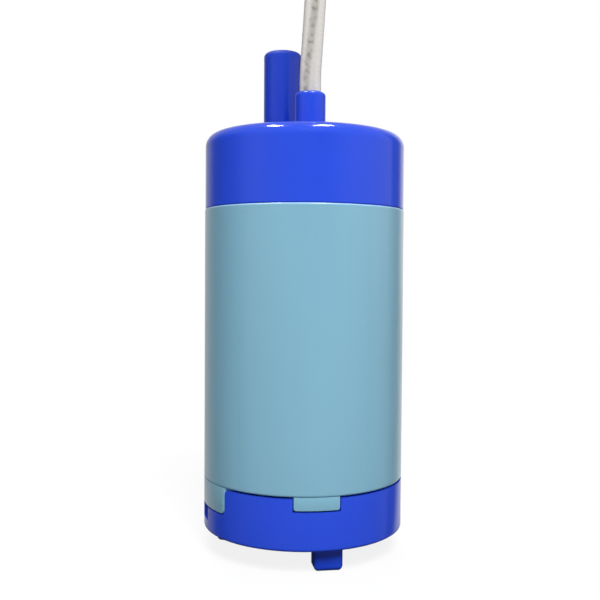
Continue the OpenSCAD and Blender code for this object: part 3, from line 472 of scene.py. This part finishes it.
# %% Base sheet with its openings
BASE_LOW, BASE_HIGH, BASE_WALL, BASE_EDGE = 7.1, 21.95, 2.0, 0.8
FLOOR_RING = 20.5
SHORT_NOTCHES, SHORT_WIDTH, SHORT_LOW, SHORT_CORNER = (7.8, 187.8), 13.7, 18.25, 0.3
LONG_NOTCHES, LONG_WIDTH, LONG_LOW, LONG_CORNER, LONG_SHOULDER = (-70, 110), 23.5, 14.35, 1.95, 1.4
INLETS, INLET_WIDTH, INLET_LOW, INLET_HIGH = (-76.5, 103.5), 9, 10.5, 16.8
SLOT_COUNT, SLOT_WIDTH, SLOT_FROM, SLOT_TO = 12, 2.6, 8, 17.6
CUT_REACH = 20


def turned(angle):
    return Matrix.Rotation(math.radians(angle), 4, "Z")


def convex_cut(bm, angle, sides, reach):
    place = turned(angle)
    back = place.inverted()
    inside = []
    for face in bm.faces:
        middle = back @ face.calc_center_median()
        if middle.y < -reach and abs(middle.x) < reach:
            inside.append(face)
    for point, way in sides:
        geom = list({item for face in inside for item in (*face.verts, *face.edges)}) + inside
        origin = place @ Vector((point[0], 0, point[1]))
        normal = place.to_3x3() @ Vector((way[0], 0, way[1]))
        cut = bmesh.ops.bisect_plane(bm, geom=geom, dist=1e-5, plane_co=origin, plane_no=normal)["geom"]
        faces = [item for item in cut if isinstance(item, bmesh.types.BMFace)]
        inside = [face for face in faces if (face.calc_center_median() - origin).dot(normal) < 0]
    bmesh.ops.delete(bm, geom=inside, context="FACES")


def drop_sides(width, low, corner, steps=5):
    sides = [((0, low), (0, -1)), ((-width / 2, 0), (-1, 0)), ((width / 2, 0), (1, 0))]
    for sign in (-1, 1):
        for k in range(1, steps):
            angle = math.pi / 2 * k / steps
            way = (sign * math.sin(angle), -math.cos(angle))
            middle = (sign * (width / 2 - corner), low + corner)
            sides.append(((middle[0] + corner * way[0], middle[1] + corner * way[1]), way))
    return sides


def round_shoulders(bm, angle, half, top, radius, steps=5):
    place = turned(angle)
    back = place.inverted()
    for sign in (-1, 1):
        def in_corner(vert):
            spot = back @ vert.co
            across = sign * spot.x - half
            return spot.y < 0 and -0.01 < across < radius + 0.01 and spot.z > top - radius - 0.01

        for k in range(1, steps):
            lean = math.pi / 2 * k / steps
            way = Vector((-sign * math.sin(lean), 0, math.cos(lean)))
            point = place @ (Vector((sign * (half + radius), 0, top - radius)) + radius * way)
            normal = place.to_3x3() @ way
            faces = list({face for vert in bm.verts if in_corner(vert) for face in vert.link_faces})
            geom = faces + list({item for face in faces for item in (*face.verts, *face.edges)})
            cut = bmesh.ops.bisect_plane(bm, geom=geom, dist=1e-5, plane_co=point, plane_no=normal)["geom"]
            spare = []
            for item in cut:
                if isinstance(item, bmesh.types.BMFace) and all(in_corner(vert) for vert in item.verts):
                    if (item.calc_center_median() - point).dot(normal) > 0:
                        spare.append(item)
            bmesh.ops.delete(bm, geom=spare, context="FACES")


bm = bmesh.new()
spin_profile(bm, [(FLOOR_RING, BASE_LOW), (TUBE_RADIUS, BASE_LOW), (TUBE_RADIUS, BASE_HIGH)])
round_loop(bm, loop_at(bm, TUBE_RADIUS, BASE_LOW), BASE_EDGE, 4)
floor_edges = loop_at(bm, FLOOR_RING, BASE_LOW)
for k in range(SLOT_COUNT):
    slot = bmesh.ops.create_circle(bm, cap_ends=False, radius=SLOT_WIDTH / 2, segments=16)["verts"]
    bmesh.ops.translate(bm, vec=(0, -SLOT_FROM, BASE_LOW), verts=slot)
    far = [vert for vert in slot if vert.co.y < -SLOT_FROM - 0.01]
    bmesh.ops.translate(bm, vec=(0, SLOT_FROM - SLOT_TO, 0), verts=far)
    bmesh.ops.transform(bm, matrix=turned((k + 0.5) * 360 / SLOT_COUNT), verts=slot)
    floor_edges += list({edge for vert in slot for edge in vert.link_edges})
fill_between(bm, floor_edges)
for angle in SHORT_NOTCHES:
    convex_cut(bm, angle, drop_sides(SHORT_WIDTH, SHORT_LOW, SHORT_CORNER), CUT_REACH)
for angle in LONG_NOTCHES:
    convex_cut(bm, angle, drop_sides(LONG_WIDTH, LONG_LOW, LONG_CORNER), CUT_REACH)
    round_shoulders(bm, angle, LONG_WIDTH / 2, BASE_HIGH, LONG_SHOULDER)
for angle in INLETS:
    half = INLET_WIDTH / 2
    inlet_sides = [
        ((0, INLET_LOW), (0, -1)), ((0, INLET_HIGH), (0, 1)), ((-half, 0), (-1, 0)), ((half, 0), (1, 0)),
    ]
    convex_cut(bm, angle, inlet_sides, CUT_REACH)
print("base sheet", len(bm.faces), "faces")

# %% [markdown]
# The sheet gets its wall, its sharp edges a small radius, and then the feet and the four seat ribs join the
# mesh as blocks that sink into the floor. A foot has a wide radius below and a small one down its sides,
# which one bevel can't give, so it is a stack of rounded rings with faces between them.

# %% Base wall, feet and ribs
FEET, FOOT_HALF, FOOT_HIGH = (9, 129, 249), (4.2, 3), 8.2
FOOT_REACH, FOOT_SIDE, FOOT_EDGE, FOOT_CORNER = 26.2, 3.5, 1.6, 1.1
RIBS, RIB_SIZE, RIB_REACH, RIB_TOP, RIB_EDGE = (30, 150, 210, 330), (2.5, 3.35, 5.2), 29.5, 13.4, 0.2
EDGE_BREAK, RING_STEPS = 0.25, 5


def break_edges(bm, offset, least=50, segments=2):
    edges = [e for e in bm.edges if e.is_manifold and e.calc_face_angle(0) > math.radians(least)]
    round_loop(bm, edges, offset, segments)


def rounded_ring(bm, inset, level):
    corner = max(FOOT_CORNER - inset, 0.05)
    verts = []
    for quarter, (side, reach) in enumerate(((1, 1), (-1, 1), (-1, -1), (1, -1))):
        x = FOOT_SIDE + side * (FOOT_HALF[0] - inset - corner)
        y = FOOT_HALF[1] - FOOT_REACH + reach * (FOOT_HALF[1] - inset - corner)
        for k in range(RING_STEPS + 1):
            a = math.pi / 2 * (quarter + k / RING_STEPS)
            verts.append(bm.verts.new((x + corner * math.cos(a), y + corner * math.sin(a), level)))
    return [bm.edges.new((verts[i - 1], verts[i])) for i in range(len(verts))]


def foot_block():
    block = bmesh.new()
    levels = []
    for k in range(RING_STEPS + 1):
        a = math.pi / 2 * k / RING_STEPS
        levels.append((FOOT_EDGE * (1 - math.sin(a)), FOOT_EDGE * (1 - math.cos(a))))
    rings = [rounded_ring(block, inset, level) for inset, level in levels + [(0, FOOT_HIGH)]]
    for low, high in zip(rings, rings[1:]):
        bmesh.ops.bridge_loops(block, edges=low + high)
    for ring in (rings[0], rings[-1]):
        bmesh.ops.edgeloop_fill(block, edges=ring)
    return block


def join_turned(bm, block, angle):
    bmesh.ops.transform(block, matrix=turned(angle), verts=block.verts)
    spare = bpy.data.meshes.new("block")
    block.to_mesh(spare)
    block.free()
    bm.from_mesh(spare)
    bpy.data.meshes.remove(spare)


bmesh.ops.recalc_face_normals(bm, faces=bm.faces)
bmesh.ops.solidify(bm, geom=bm.faces[:], thickness=BASE_WALL)
break_edges(bm, EDGE_BREAK)
for level in (BASE_LOW + BASE_EDGE + HOLD, BASE_HIGH - EDGE_BREAK - HOLD):
    geom = bm.verts[:] + bm.edges[:] + bm.faces[:]
    bmesh.ops.bisect_plane(bm, geom=geom, dist=1e-5, plane_co=(0, 0, level), plane_no=(0, 0, 1))
for angle in FEET:
    join_turned(bm, foot_block(), angle)
for angle in RIBS:
    rib = bmesh.new()
    rounded_box(rib, RIB_SIZE, (0, -RIB_REACH + RIB_SIZE[1] / 2, RIB_TOP - RIB_SIZE[2] / 2), RIB_EDGE)
    join_turned(bm, rib, angle)
strainer_base = finish_piece(bm, "strainer_base", "base", "blue_plastic", ["base"])

# %% [markdown]
# The housing shows only through the notches, where its four lugs lie flush with the tube. Its CAD solid is
# right, so a copy is merged into one skin, and just the lugs' outer edges are broken, as a mould leaves
# them.

# %% Housing with its lugs
LUG_FACE, LUG_BREAK, FLAT_WITHIN = 28.6, 0.3, 0.5
bm = bmesh.new()
bm.from_mesh(frame["nodes"]["pump_housing"].data)
bmesh.ops.scale(bm, vec=(1 / MM, 1 / MM, 1 / MM), verts=bm.verts)
bmesh.ops.remove_doubles(bm, verts=bm.verts, dist=1e-4)
bmesh.ops.dissolve_limit(
    bm, angle_limit=math.radians(FLAT_WITHIN), verts=bm.verts, edges=bm.edges, delimit={"NORMAL"},
)
lug_edges = []
for edge in bm.edges:
    outside = all(v.co.to_2d().length > LUG_FACE and v.co.z < TUBE_LOW + 0.1 for v in edge.verts)
    if outside and edge.is_manifold and edge.calc_face_angle(0) > math.radians(40):
        lug_edges.append(edge)
round_loop(bm, lug_edges, LUG_BREAK, 3)
lugged_housing = finish_piece(bm, "lugged_housing", "pump", "pale_plastic", ["pump_housing"])

# %% [markdown]
# Every finish is a node material. Writing its maths as sums of Python values keeps it readable: a wire
# wraps one socket, and each operator on it adds a Math node. All other nodes come from one method.

# %% Finishes as Python expressions
class Wire:
    def __init__(self, finish, socket):
        self.finish = finish
        self.socket = socket

    def sum_up(self, operation, first, second):
        return self.finish.node("ShaderNodeMath", {"operation": operation}, {0: first, 1: second})

    def __add__(self, other):
        return self.sum_up("ADD", self, other)

    def __sub__(self, other):
        return self.sum_up("SUBTRACT", self, other)

    def __rsub__(self, other):
        return self.sum_up("SUBTRACT", other, self)

    def __mul__(self, other):
        return self.sum_up("MULTIPLY", self, other)

    def __truediv__(self, other):
        return self.sum_up("DIVIDE", self, other)

    __radd__ = __add__
    __rmul__ = __mul__


class Recipe:
    def __init__(self, tree):
        self.tree = tree
        self.tree.nodes.clear()

    def node(self, kind, settings=None, sockets=None, output=0):
        made = self.tree.nodes.new(kind)
        for name, value in (settings or {}).items():
            if name == "stops":
                self.set_stops(made.color_ramp.elements, value)
            else:
                setattr(made, name, value)
        for name, value in (sockets or {}).items():
            self.feed(made.inputs[name], value)
        return Wire(self, made.outputs[output]) if made.outputs else made

    def set_stops(self, elements, stops):
        while len(elements) < len(stops):
            elements.new(1.0)
        for element, (position, level) in zip(elements, stops):
            element.position = position
            element.color = (level, level, level, 1)

    def feed(self, socket, value):
        if isinstance(value, Wire):
            self.tree.links.new(value.socket, socket)
        else:
            socket.default_value = value

    def place(self, stretch=(1, 1, 1)):
        spot = self.node("ShaderNodeTexCoord", output="Object")
        return self.node("ShaderNodeMapping", None, {"Vector": spot, "Scale": stretch})

    def noise(self, spot, scale, detail=2.0, roughness=0.5):
        sockets = {"Vector": spot, "Scale": scale, "Detail": detail, "Roughness": roughness}
        return self.node("ShaderNodeTexNoise", None, sockets)

    def ramp(self, value, low, high):
        settings = {"interpolation_type": "SMOOTHSTEP"}
        return self.node("ShaderNodeMapRange", settings, {0: value, 1: low, 2: high})

    def mix(self, factor, first, second):
        settings = {"data_type": "RGBA"}
        return self.node("ShaderNodeMix", settings, {0: factor, 6: first, 7: second}, output=2)

    def ray(self, kind):
        return self.node("ShaderNodeLightPath", output="Is " + kind + " Ray")


class Finish(Recipe):
    def __init__(self, name, **constants):
        self.material = bpy.data.materials.new(name)
        self.material.use_nodes = True
        super().__init__(self.material.node_tree)
        self.face = self.node("ShaderNodeBsdfPrincipled")
        self.end = self.node("ShaderNodeOutputMaterial", None, {"Surface": self.face})
        for socket, value in constants.items():
            self.wear(socket.replace("_", " "), value)

    def wear(self, socket, value):
        self.feed(self.face.socket.node.inputs[socket], value)

    def bump(self, height, strength, distance):
        sockets = {"Height": height, "Strength": strength, "Distance": distance}
        self.wear("Normal", self.node("ShaderNodeBump", None, sockets))


def tone(colour, share):
    return tuple(min(1.0, c * share) for c in colour) + (1.0,)


# %% [markdown]
# The cap and the base are glossy injection mouldings in royal blue. Real mouldings have faint flow clouds,
# a fine orange peel and small handling marks, so the colour, the roughness and the bump each vary a little.
# The spigot's end is rubbed dull by hoses.

# %% Moulded plastics
BLUE, WORN_FROM = (0.0157, 0.0645, 0.65), 151


def moulded(name, colour, roughness, cloud=0.06, peel=0.05, worn=0.0):
    finish = Finish(name, IOR=1.5)
    spot = finish.place()
    clouds = finish.noise(spot, 45, 3)
    grain = finish.noise(spot, 1400, 2)
    marks = finish.ramp(finish.noise(finish.place((1, 1, 0.15)), 700, 4, 0.7), 0.62, 0.78)
    shade = clouds * 0.75 + grain * 0.25
    height = finish.node("ShaderNodeSeparateXYZ", None, {0: spot}, output="Z")
    finish.wear("Base Color", finish.mix(shade, tone(colour, 1 - cloud), tone(colour, 1 + cloud)))
    rubbed = finish.ramp(height, WORN_FROM * MM, SPIGOT_TOP * MM) * worn
    finish.wear("Roughness", roughness + (clouds - 0.5) * 0.05 + marks * 0.06 + rubbed)
    finish.bump(finish.noise(spot, 320, 2), peel, 0.0004)
    return finish.material


finishes = {
    "blue_plastic": moulded("blue_plastic", BLUE, 0.13, peel=0.02, worn=0.5),
    "white_plastic": moulded("white_plastic", (0.72, 0.72, 0.69), 0.45),
    "brown_plastic": moulded("brown_plastic", (0.2, 0.09, 0.04), 0.4, cloud=0.12),
    "tie_plastic": moulded("tie_plastic", (0.016, 0.016, 0.018), 0.38, cloud=0.15, peel=0.1),
}

# %% [markdown]
# The tube and the housing are the same pale blue plastic. Extruding leaves faint lines along the tube, so
# the noise is stretched along the axis. A painted highlight in a paler blue along the tube's upper edge
# shows as a thin light line under the cap.

# %% Pale plastic
# colour of the painted highlight along the tube's upper edge
PAINTED_EDGE_HIGHLIGHT = (0.37, 0.63, 0.96)


def extruded(name, colour, roughness):
    finish = Finish(name, Coat_Weight=1.0, Coat_Roughness=0.3, Coat_IOR=1.7, IOR=1.48)
    lines = finish.noise(finish.place((1, 1, 0.01)), 420, 3, 0.6)
    clouds = finish.noise(finish.place((1, 1, 0.5)), 38, 3)
    grain = finish.noise(finish.place(), 1800, 2)
    shade = lines * 0.35 + clouds * 0.45 + grain * 0.2
    height = finish.node("ShaderNodeSeparateXYZ", None, {0: finish.place()}, output="Z")
    # painted highlight: the tube's upper edge turns a paler blue, standing in for light caught by the edge
    edge_highlight_mask = finish.ramp(height, (TUBE_HIGH - TUBE_EDGE) * MM, (TUBE_HIGH - TUBE_EDGE / 2) * MM)
    plain = finish.mix(shade, tone(colour, 0.93), tone(colour, 1.07))
    finish.wear("Base Color", finish.mix(edge_highlight_mask, plain, PAINTED_EDGE_HIGHLIGHT + (1,)))
    finish.wear("Roughness", roughness + (lines - 0.5) * 0.1 + (grain - 0.5) * 0.05)
    finish.bump(lines * 0.6 + grain * 0.4, 0.04, 0.0003)
    return finish.material


finishes["pale_plastic"] = extruded("pale_plastic", (0.186, 0.412, 0.542), 0.3)

# %% [markdown]
# The lead's sheath is clear soft plastic. Its two stranded cores make it look pale grey, and between them a
# darker, blotchy band shows through, which wanders from side to side. The two numbers from the sweep place
# it.

# %% Clear sheath
WANDER, WANDER_START = math.tau / 0.06, math.pi / 2


def clear_sheath(name, pale, dark, band):
    finish = Finish(name, Coat_Weight=0.4, Coat_Roughness=0.15, IOR=1.52)
    across = finish.node("ShaderNodeAttribute", {"attribute_name": "across"}, output="Fac")
    along = finish.node("ShaderNodeAttribute", {"attribute_name": "along"}, output="Fac")
    sway = finish.node("ShaderNodeMath", {"operation": "SINE"}, {0: along * WANDER - WANDER_START})
    off_band = finish.node("ShaderNodeMath", {"operation": "ABSOLUTE"}, {0: across - sway * 0.19 + 0.19})
    lay = finish.node("ShaderNodeCombineXYZ", None, {"X": across * 0.003, "Y": along, "Z": 0.0})
    blotch = finish.noise(lay, 640, 4, 0.6)
    strands = finish.node("ShaderNodeMath", {"operation": "SINE"}, {0: (along + across * 0.0022) * 3600.0})
    spots = finish.ramp(blotch, 0.4, 0.66)
    middle = (1 - finish.ramp(off_band, 0.08, 0.52)) * (spots * 0.5 + 0.55) * band
    shade = middle + spots * 0.08 + strands * 0.012
    finish.wear("Base Color", finish.mix(shade, pale + (1,), dark + (1,)))
    finish.wear("Roughness", 0.28 + (blotch - 0.5) * 0.16)
    finish.bump(blotch * 0.7 + strands * 0.3, 0.06, 0.0003)
    return finish.material


finishes["cable_sheath"] = clear_sheath("cable_sheath", (0.62, 0.6, 0.56), (0.26, 0.24, 0.215), 0.95)
finishes["lead_sheath"] = clear_sheath("lead_sheath", (0.62, 0.6, 0.56), (0.3, 0.24, 0.18), 0.5)

# %% [markdown]
# Inside are the motor's metals and rubbers. Ground and drawn metal shows lines along its making, sheet
# laminations show as thin rings, and cast or sintered pieces are speckled. One function each covers them.

# %% Metals, rubber and windings
def drawn_metal(name, colour, roughness, stretch, scale=900):
    finish = Finish(name, Metallic=1.0)
    lines = finish.noise(finish.place(stretch), scale, 4, 0.7)
    stains = finish.noise(finish.place(), 90, 3)
    shade = lines * 0.6 + stains * 0.4
    finish.wear("Base Color", finish.mix(shade, tone(colour, 0.82), tone(colour, 1.12)))
    finish.wear("Roughness", roughness + (lines - 0.5) * 0.2)
    finish.bump(lines, 0.08, 0.0002)
    return finish.material


def speckled(name, colour, roughness, metallic=0.0, scale=2500, depth=0.15):
    finish = Finish(name, Metallic=metallic)
    specks = finish.noise(finish.place(), scale, 3, 0.7)
    clouds = finish.noise(finish.place(), 120, 3)
    finish.wear("Base Color", finish.mix(specks * 0.7 + clouds * 0.3, tone(colour, 0.7), tone(colour, 1.3)))
    finish.wear("Roughness", roughness + (specks - 0.5) * 0.2)
    finish.bump(specks, depth, 0.0002)
    return finish.material


def ringed(name, colour, roughness, pitch, metallic):
    finish = Finish(name, Metallic=metallic)
    height = finish.node("ShaderNodeSeparateXYZ", None, {0: finish.place()}, output="Z")
    wander = finish.noise(finish.place(), 300, 2) * 0.0004
    rings = finish.node("ShaderNodeMath", {"operation": "SINE"}, {0: (height + wander) * (math.tau / pitch)})
    shade = rings * 0.4 + 0.5
    finish.wear("Base Color", finish.mix(shade, tone(colour, 0.6), tone(colour, 1.2)))
    finish.wear("Roughness", roughness + rings * 0.08)
    finish.bump(rings, 0.3, 0.0002)
    return finish.material


ALONG, ROUND_ABOUT = (1, 1, 0.02), (0.05, 0.05, 1)
finishes["screw_steel"] = drawn_metal("screw_steel", (0.6, 0.6, 0.6), 0.3, (1, 1, 1), 1200)
finishes["shaft_steel"] = drawn_metal("shaft_steel", (0.65, 0.65, 0.66), 0.22, ROUND_ABOUT)
finishes["can_steel"] = drawn_metal("can_steel", (0.6, 0.6, 0.58), 0.34, ALONG)
finishes["tin"] = drawn_metal("tin", (0.72, 0.71, 0.68), 0.32, (1, 1, 1), 1500)
finishes["bronze"] = speckled("bronze", (0.6, 0.42, 0.2), 0.38, 1.0)
finishes["carbon"] = speckled("carbon", (0.03, 0.03, 0.03), 0.6)
finishes["ferrite"] = speckled("ferrite", (0.05, 0.05, 0.055), 0.55)
finishes["seal_rubber"] = speckled("seal_rubber", (0.02, 0.02, 0.021), 0.6, 0.0, 1800, 0.1)
finishes["core_steel"] = ringed("core_steel", (0.28, 0.28, 0.28), 0.4, 0.0006, 1.0)
finishes["copper"] = ringed("copper", (0.72, 0.33, 0.16), 0.3, 0.0007, 1.0)
print(len(finishes), "finishes")

# %% [markdown]
# Each piece has one finish, named by its slot in the record. The solids that stay as they are get theirs in
# the same way as the pieces modelled again.

# %% Dress every piece
for row in frame["record"]["subparts"]:
    node = frame["nodes"][row["node"]]
    node.data.materials.clear()
    node.data.materials.append(finishes[row["material_slot"]])
for piece in (supply_lead, lead_tails, stranded_tips, coil_tie, cap, tube, strainer_base, lugged_housing):
    piece.data.materials.append(finishes[piece["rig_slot"]])

# %% [markdown]
# The photograph is cut out on white. Camera and transmission rays see a white world, through a pale floor
# that keeps the pump's soft shadow and is clear otherwise, so the underside shows from below, and the base
# when it is pulled off. What a glossy surface mirrors depends on the side: white behind, a soft light on
# the right, dark cards left and front. A ramp round the axis holds that for the world, and another for the
# floor.

# %% Floor and world
FLOOR_SIZE, SHADOW_SHARE, SHADOW_FROM, SHADOW_TO = 4.0, 0.14, 0.1, 0.4
SKY_LIGHT, OVERHEAD, UNDER_PUMP, FRONT_SHARE = 0.15, 0.6, 0.025, 0.6
ROOM_LIGHT = [
    (-180, 0.33), (-146, 0.4), (-127, 0.54), (-113, 0.5), (-104, 0.32), (-98, 0.2), (-86, 0.12), (-75, 0.08),
    (-58, 0.12), (-50, 0.24), (-42, 0.45), (-20, 0.62), (0, 0.85), (20, 1.0), (30, 0.95), (38, 0.5),
    (44, 0.16), (59, 0.13), (66, 0.6), (76, 0.65), (102, 0.66), (124, 0.62), (138, 0.52), (148, 0.38),
    (160, 0.27), (180, 0.33),
]
FLOOR_LIGHT = [
    (-180, 0.22), (-120, 0.22), (-100, 0.12), (-75, 0.06), (-58, 0.1), (-42, 0.42), (-20, 0.58), (0, 0.72),
    (20, 0.8), (30, 0.76), (38, 0.4), (44, 0.12), (60, 0.1), (67, 0.3), (76, 0.32), (95, 0.24), (140, 0.26),
    (180, 0.26),
]


def mirrored(recipe, spot, levels, inset=0.0):
    x = recipe.node("ShaderNodeSeparateXYZ", None, {0: spot}, output="X")
    y = recipe.node("ShaderNodeSeparateXYZ", None, {0: spot}, output="Y")
    across = x - recipe.node("ShaderNodeClamp", None, {"Value": x, "Min": -inset, "Max": inset})
    bearing = recipe.node("ShaderNodeMath", {"operation": "ARCTAN2"}, {0: across, 1: y + inset * FRONT_SHARE})
    stops = [(angle / 360 + 0.5, level) for angle, level in levels]
    return recipe.node("ShaderNodeValToRGB", {"stops": stops}, {0: bearing / math.tau + 0.5})


bm = bmesh.new()
bmesh.ops.create_circle(bm, cap_ends=True, radius=FLOOR_SIZE, segments=96)
mesh = bpy.data.meshes.new("floor")
bm.to_mesh(mesh)
bm.free()
floor = bpy.data.objects.new("floor", mesh)
scene.collection.objects.link(floor)
ground = Finish("floor", Roughness=0.9, Specular_IOR_Level=0.0)
spot = ground.place()
away = ground.node("ShaderNodeVectorMath", {"operation": "LENGTH"}, {0: spot}, output="Value")
seen = ground.ray("Camera") + ground.ray("Transmission")
glossy = ground.ray("Glossy")
grain = ground.noise(spot, 60, 3) * 0.03
# painted shade: the floor colour that bounced light sees darkens to near black under the pump
open_floor = ground.ramp(away, UNDER_PUMP, 4 * UNDER_PUMP)
bounce_with_painted_shade = ground.mix(open_floor, (0.1, 0.1, 0.1, 1), (0.6, 0.6, 0.6, 1))
pale = ground.mix(seen, bounce_with_painted_shade, (0.95, 0.95, 0.95, 1))
ground.wear("Base Color", ground.mix(grain, pale, (0.9, 0.9, 0.9, 1)))
shown = seen * (1 - SHADOW_SHARE * (1 - ground.ramp(away, SHADOW_FROM, SHADOW_TO)))
# painted shade: what a glossy surface mirrors of the floor goes dark under the pump
near_pump = ground.ramp(away, UNDER_PUMP, 2 * UNDER_PUMP)
floor_shine = mirrored(ground, spot, FLOOR_LIGHT, TUBE_RADIUS * MM)
shine_with_painted_shade = ground.mix(near_pump, (0.02, 0.02, 0.02, 1), floor_shine)
glow = ground.node("ShaderNodeEmission", None, {"Color": shine_with_painted_shade, "Strength": 1.0})
clear = ground.node("ShaderNodeBsdfTransparent")
beyond = ground.node("ShaderNodeMixShader", None, {0: glossy, 1: clear, 2: glow})
passed = shown + glossy + ground.ray("Shadow")
both = ground.node("ShaderNodeMixShader", None, {0: passed, 1: ground.face, 2: beyond})
ground.feed(ground.end.inputs["Surface"], both)
mesh.materials.append(ground.material)

world = bpy.data.worlds.new("studio")
scene.world = world
world.use_nodes = True
sky = Recipe(world.node_tree)
spot = sky.node("ShaderNodeTexCoord", output="Generated")
seen = sky.ray("Camera") + sky.ray("Transmission")
glossy = sky.ray("Glossy")
height = sky.node("ShaderNodeSeparateXYZ", None, {0: spot}, output="Z")
lift = sky.ramp(height, 0.3, 0.75)
shine = mirrored(sky, spot, ROOM_LIGHT) * (1 - lift) + lift * OVERHEAD
strength = seen + glossy * shine + (1 - seen - glossy) * sky.ramp(height, -0.02, 0.02) * SKY_LIGHT
sky_light = sky.node("ShaderNodeBackground", None, {"Color": (1, 1, 1, 1), "Strength": strength})
sky.node("ShaderNodeOutputWorld", None, {"Surface": sky_light})
print("studio of", len(ROOM_LIGHT), "stops round the axis")

# %% [markdown]
# Two lamps overhead make the pair of short highlights on the cap's rim and on the boss, and light nothing
# else. A broad lamp in front, high and a little to the right, lights the side that shows. It gives no
# reflection, as the photograph shows none. A thin card that only casts shade dims it on the spigot, which
# is darker than the boss, and a weak lamp behind lets the back be seen from other sides.

# %% Lamps
def soft_lamp(name, place, target, size, power):
    light = bpy.data.lights.new(name, "AREA")
    light.shape = "RECTANGLE"
    light.size, light.size_y = size
    light.energy = power
    lamp = bpy.data.objects.new(name, light)
    lamp.location = place
    lamp.rotation_euler = (Vector(target) - Vector(place)).to_track_quat("-Z", "X").to_euler()
    scene.collection.objects.link(lamp)
    return lamp


CAP_SPOT, BODY_SPOT = (0, 0, 0.126), (0, 0, 0.075)
RIM_LAMP_HIGH, RIM_LAMP_SIZE, RIM_LAMP_POWER = 0.865, (0.085, 0.22), 3.8
KEY_PLACE, KEY_SIZE, KEY_POWER = (0.465, -2.636, 3.048), (1.67, 1.67), 196.0
BACK_PLACE, BACK_SIZE, BACK_POWER = (-0.2, 0.95, 0.7), (0.6, 0.6), 5.0
CARD_SPOT, CARD_SIZE, CARD_ALPHA = (-6, -2.5, 153), (22, 42, 1), 0.42
for name, x, y in (("lamp_left", -0.262, -0.05), ("lamp_right", 0.155, -0.07)):
    lamp = soft_lamp(name, (x, y, RIM_LAMP_HIGH), CAP_SPOT, RIM_LAMP_SIZE, RIM_LAMP_POWER)
    lamp.visible_diffuse = False
key = soft_lamp("key", KEY_PLACE, BODY_SPOT, KEY_SIZE, KEY_POWER)
back = soft_lamp("back", BACK_PLACE, BODY_SPOT, BACK_SIZE, BACK_POWER)
for lamp in (key, back):
    lamp.visible_glossy = False

bm = bmesh.new()
bmesh.ops.create_grid(bm, x_segments=1, y_segments=1, size=0.5)
bmesh.ops.scale(bm, vec=CARD_SIZE, verts=bm.verts)
upright = Matrix.Translation(CARD_SPOT) @ Matrix.Rotation(math.pi / 2, 4, "X")
bmesh.ops.transform(bm, matrix=Matrix.Scale(MM, 4) @ upright, verts=bm.verts)
mesh = bpy.data.meshes.new("shade_card")
bm.to_mesh(mesh)
bm.free()
mesh.materials.append(Finish("shade_card", Alpha=CARD_ALPHA).material)
card = bpy.data.objects.new("shade_card", mesh)
scene.collection.objects.link(card)
for kind in ("camera", "diffuse", "glossy", "transmission"):
    setattr(card, "visible_" + kind, False)
scene.view_settings.view_transform = "Standard"
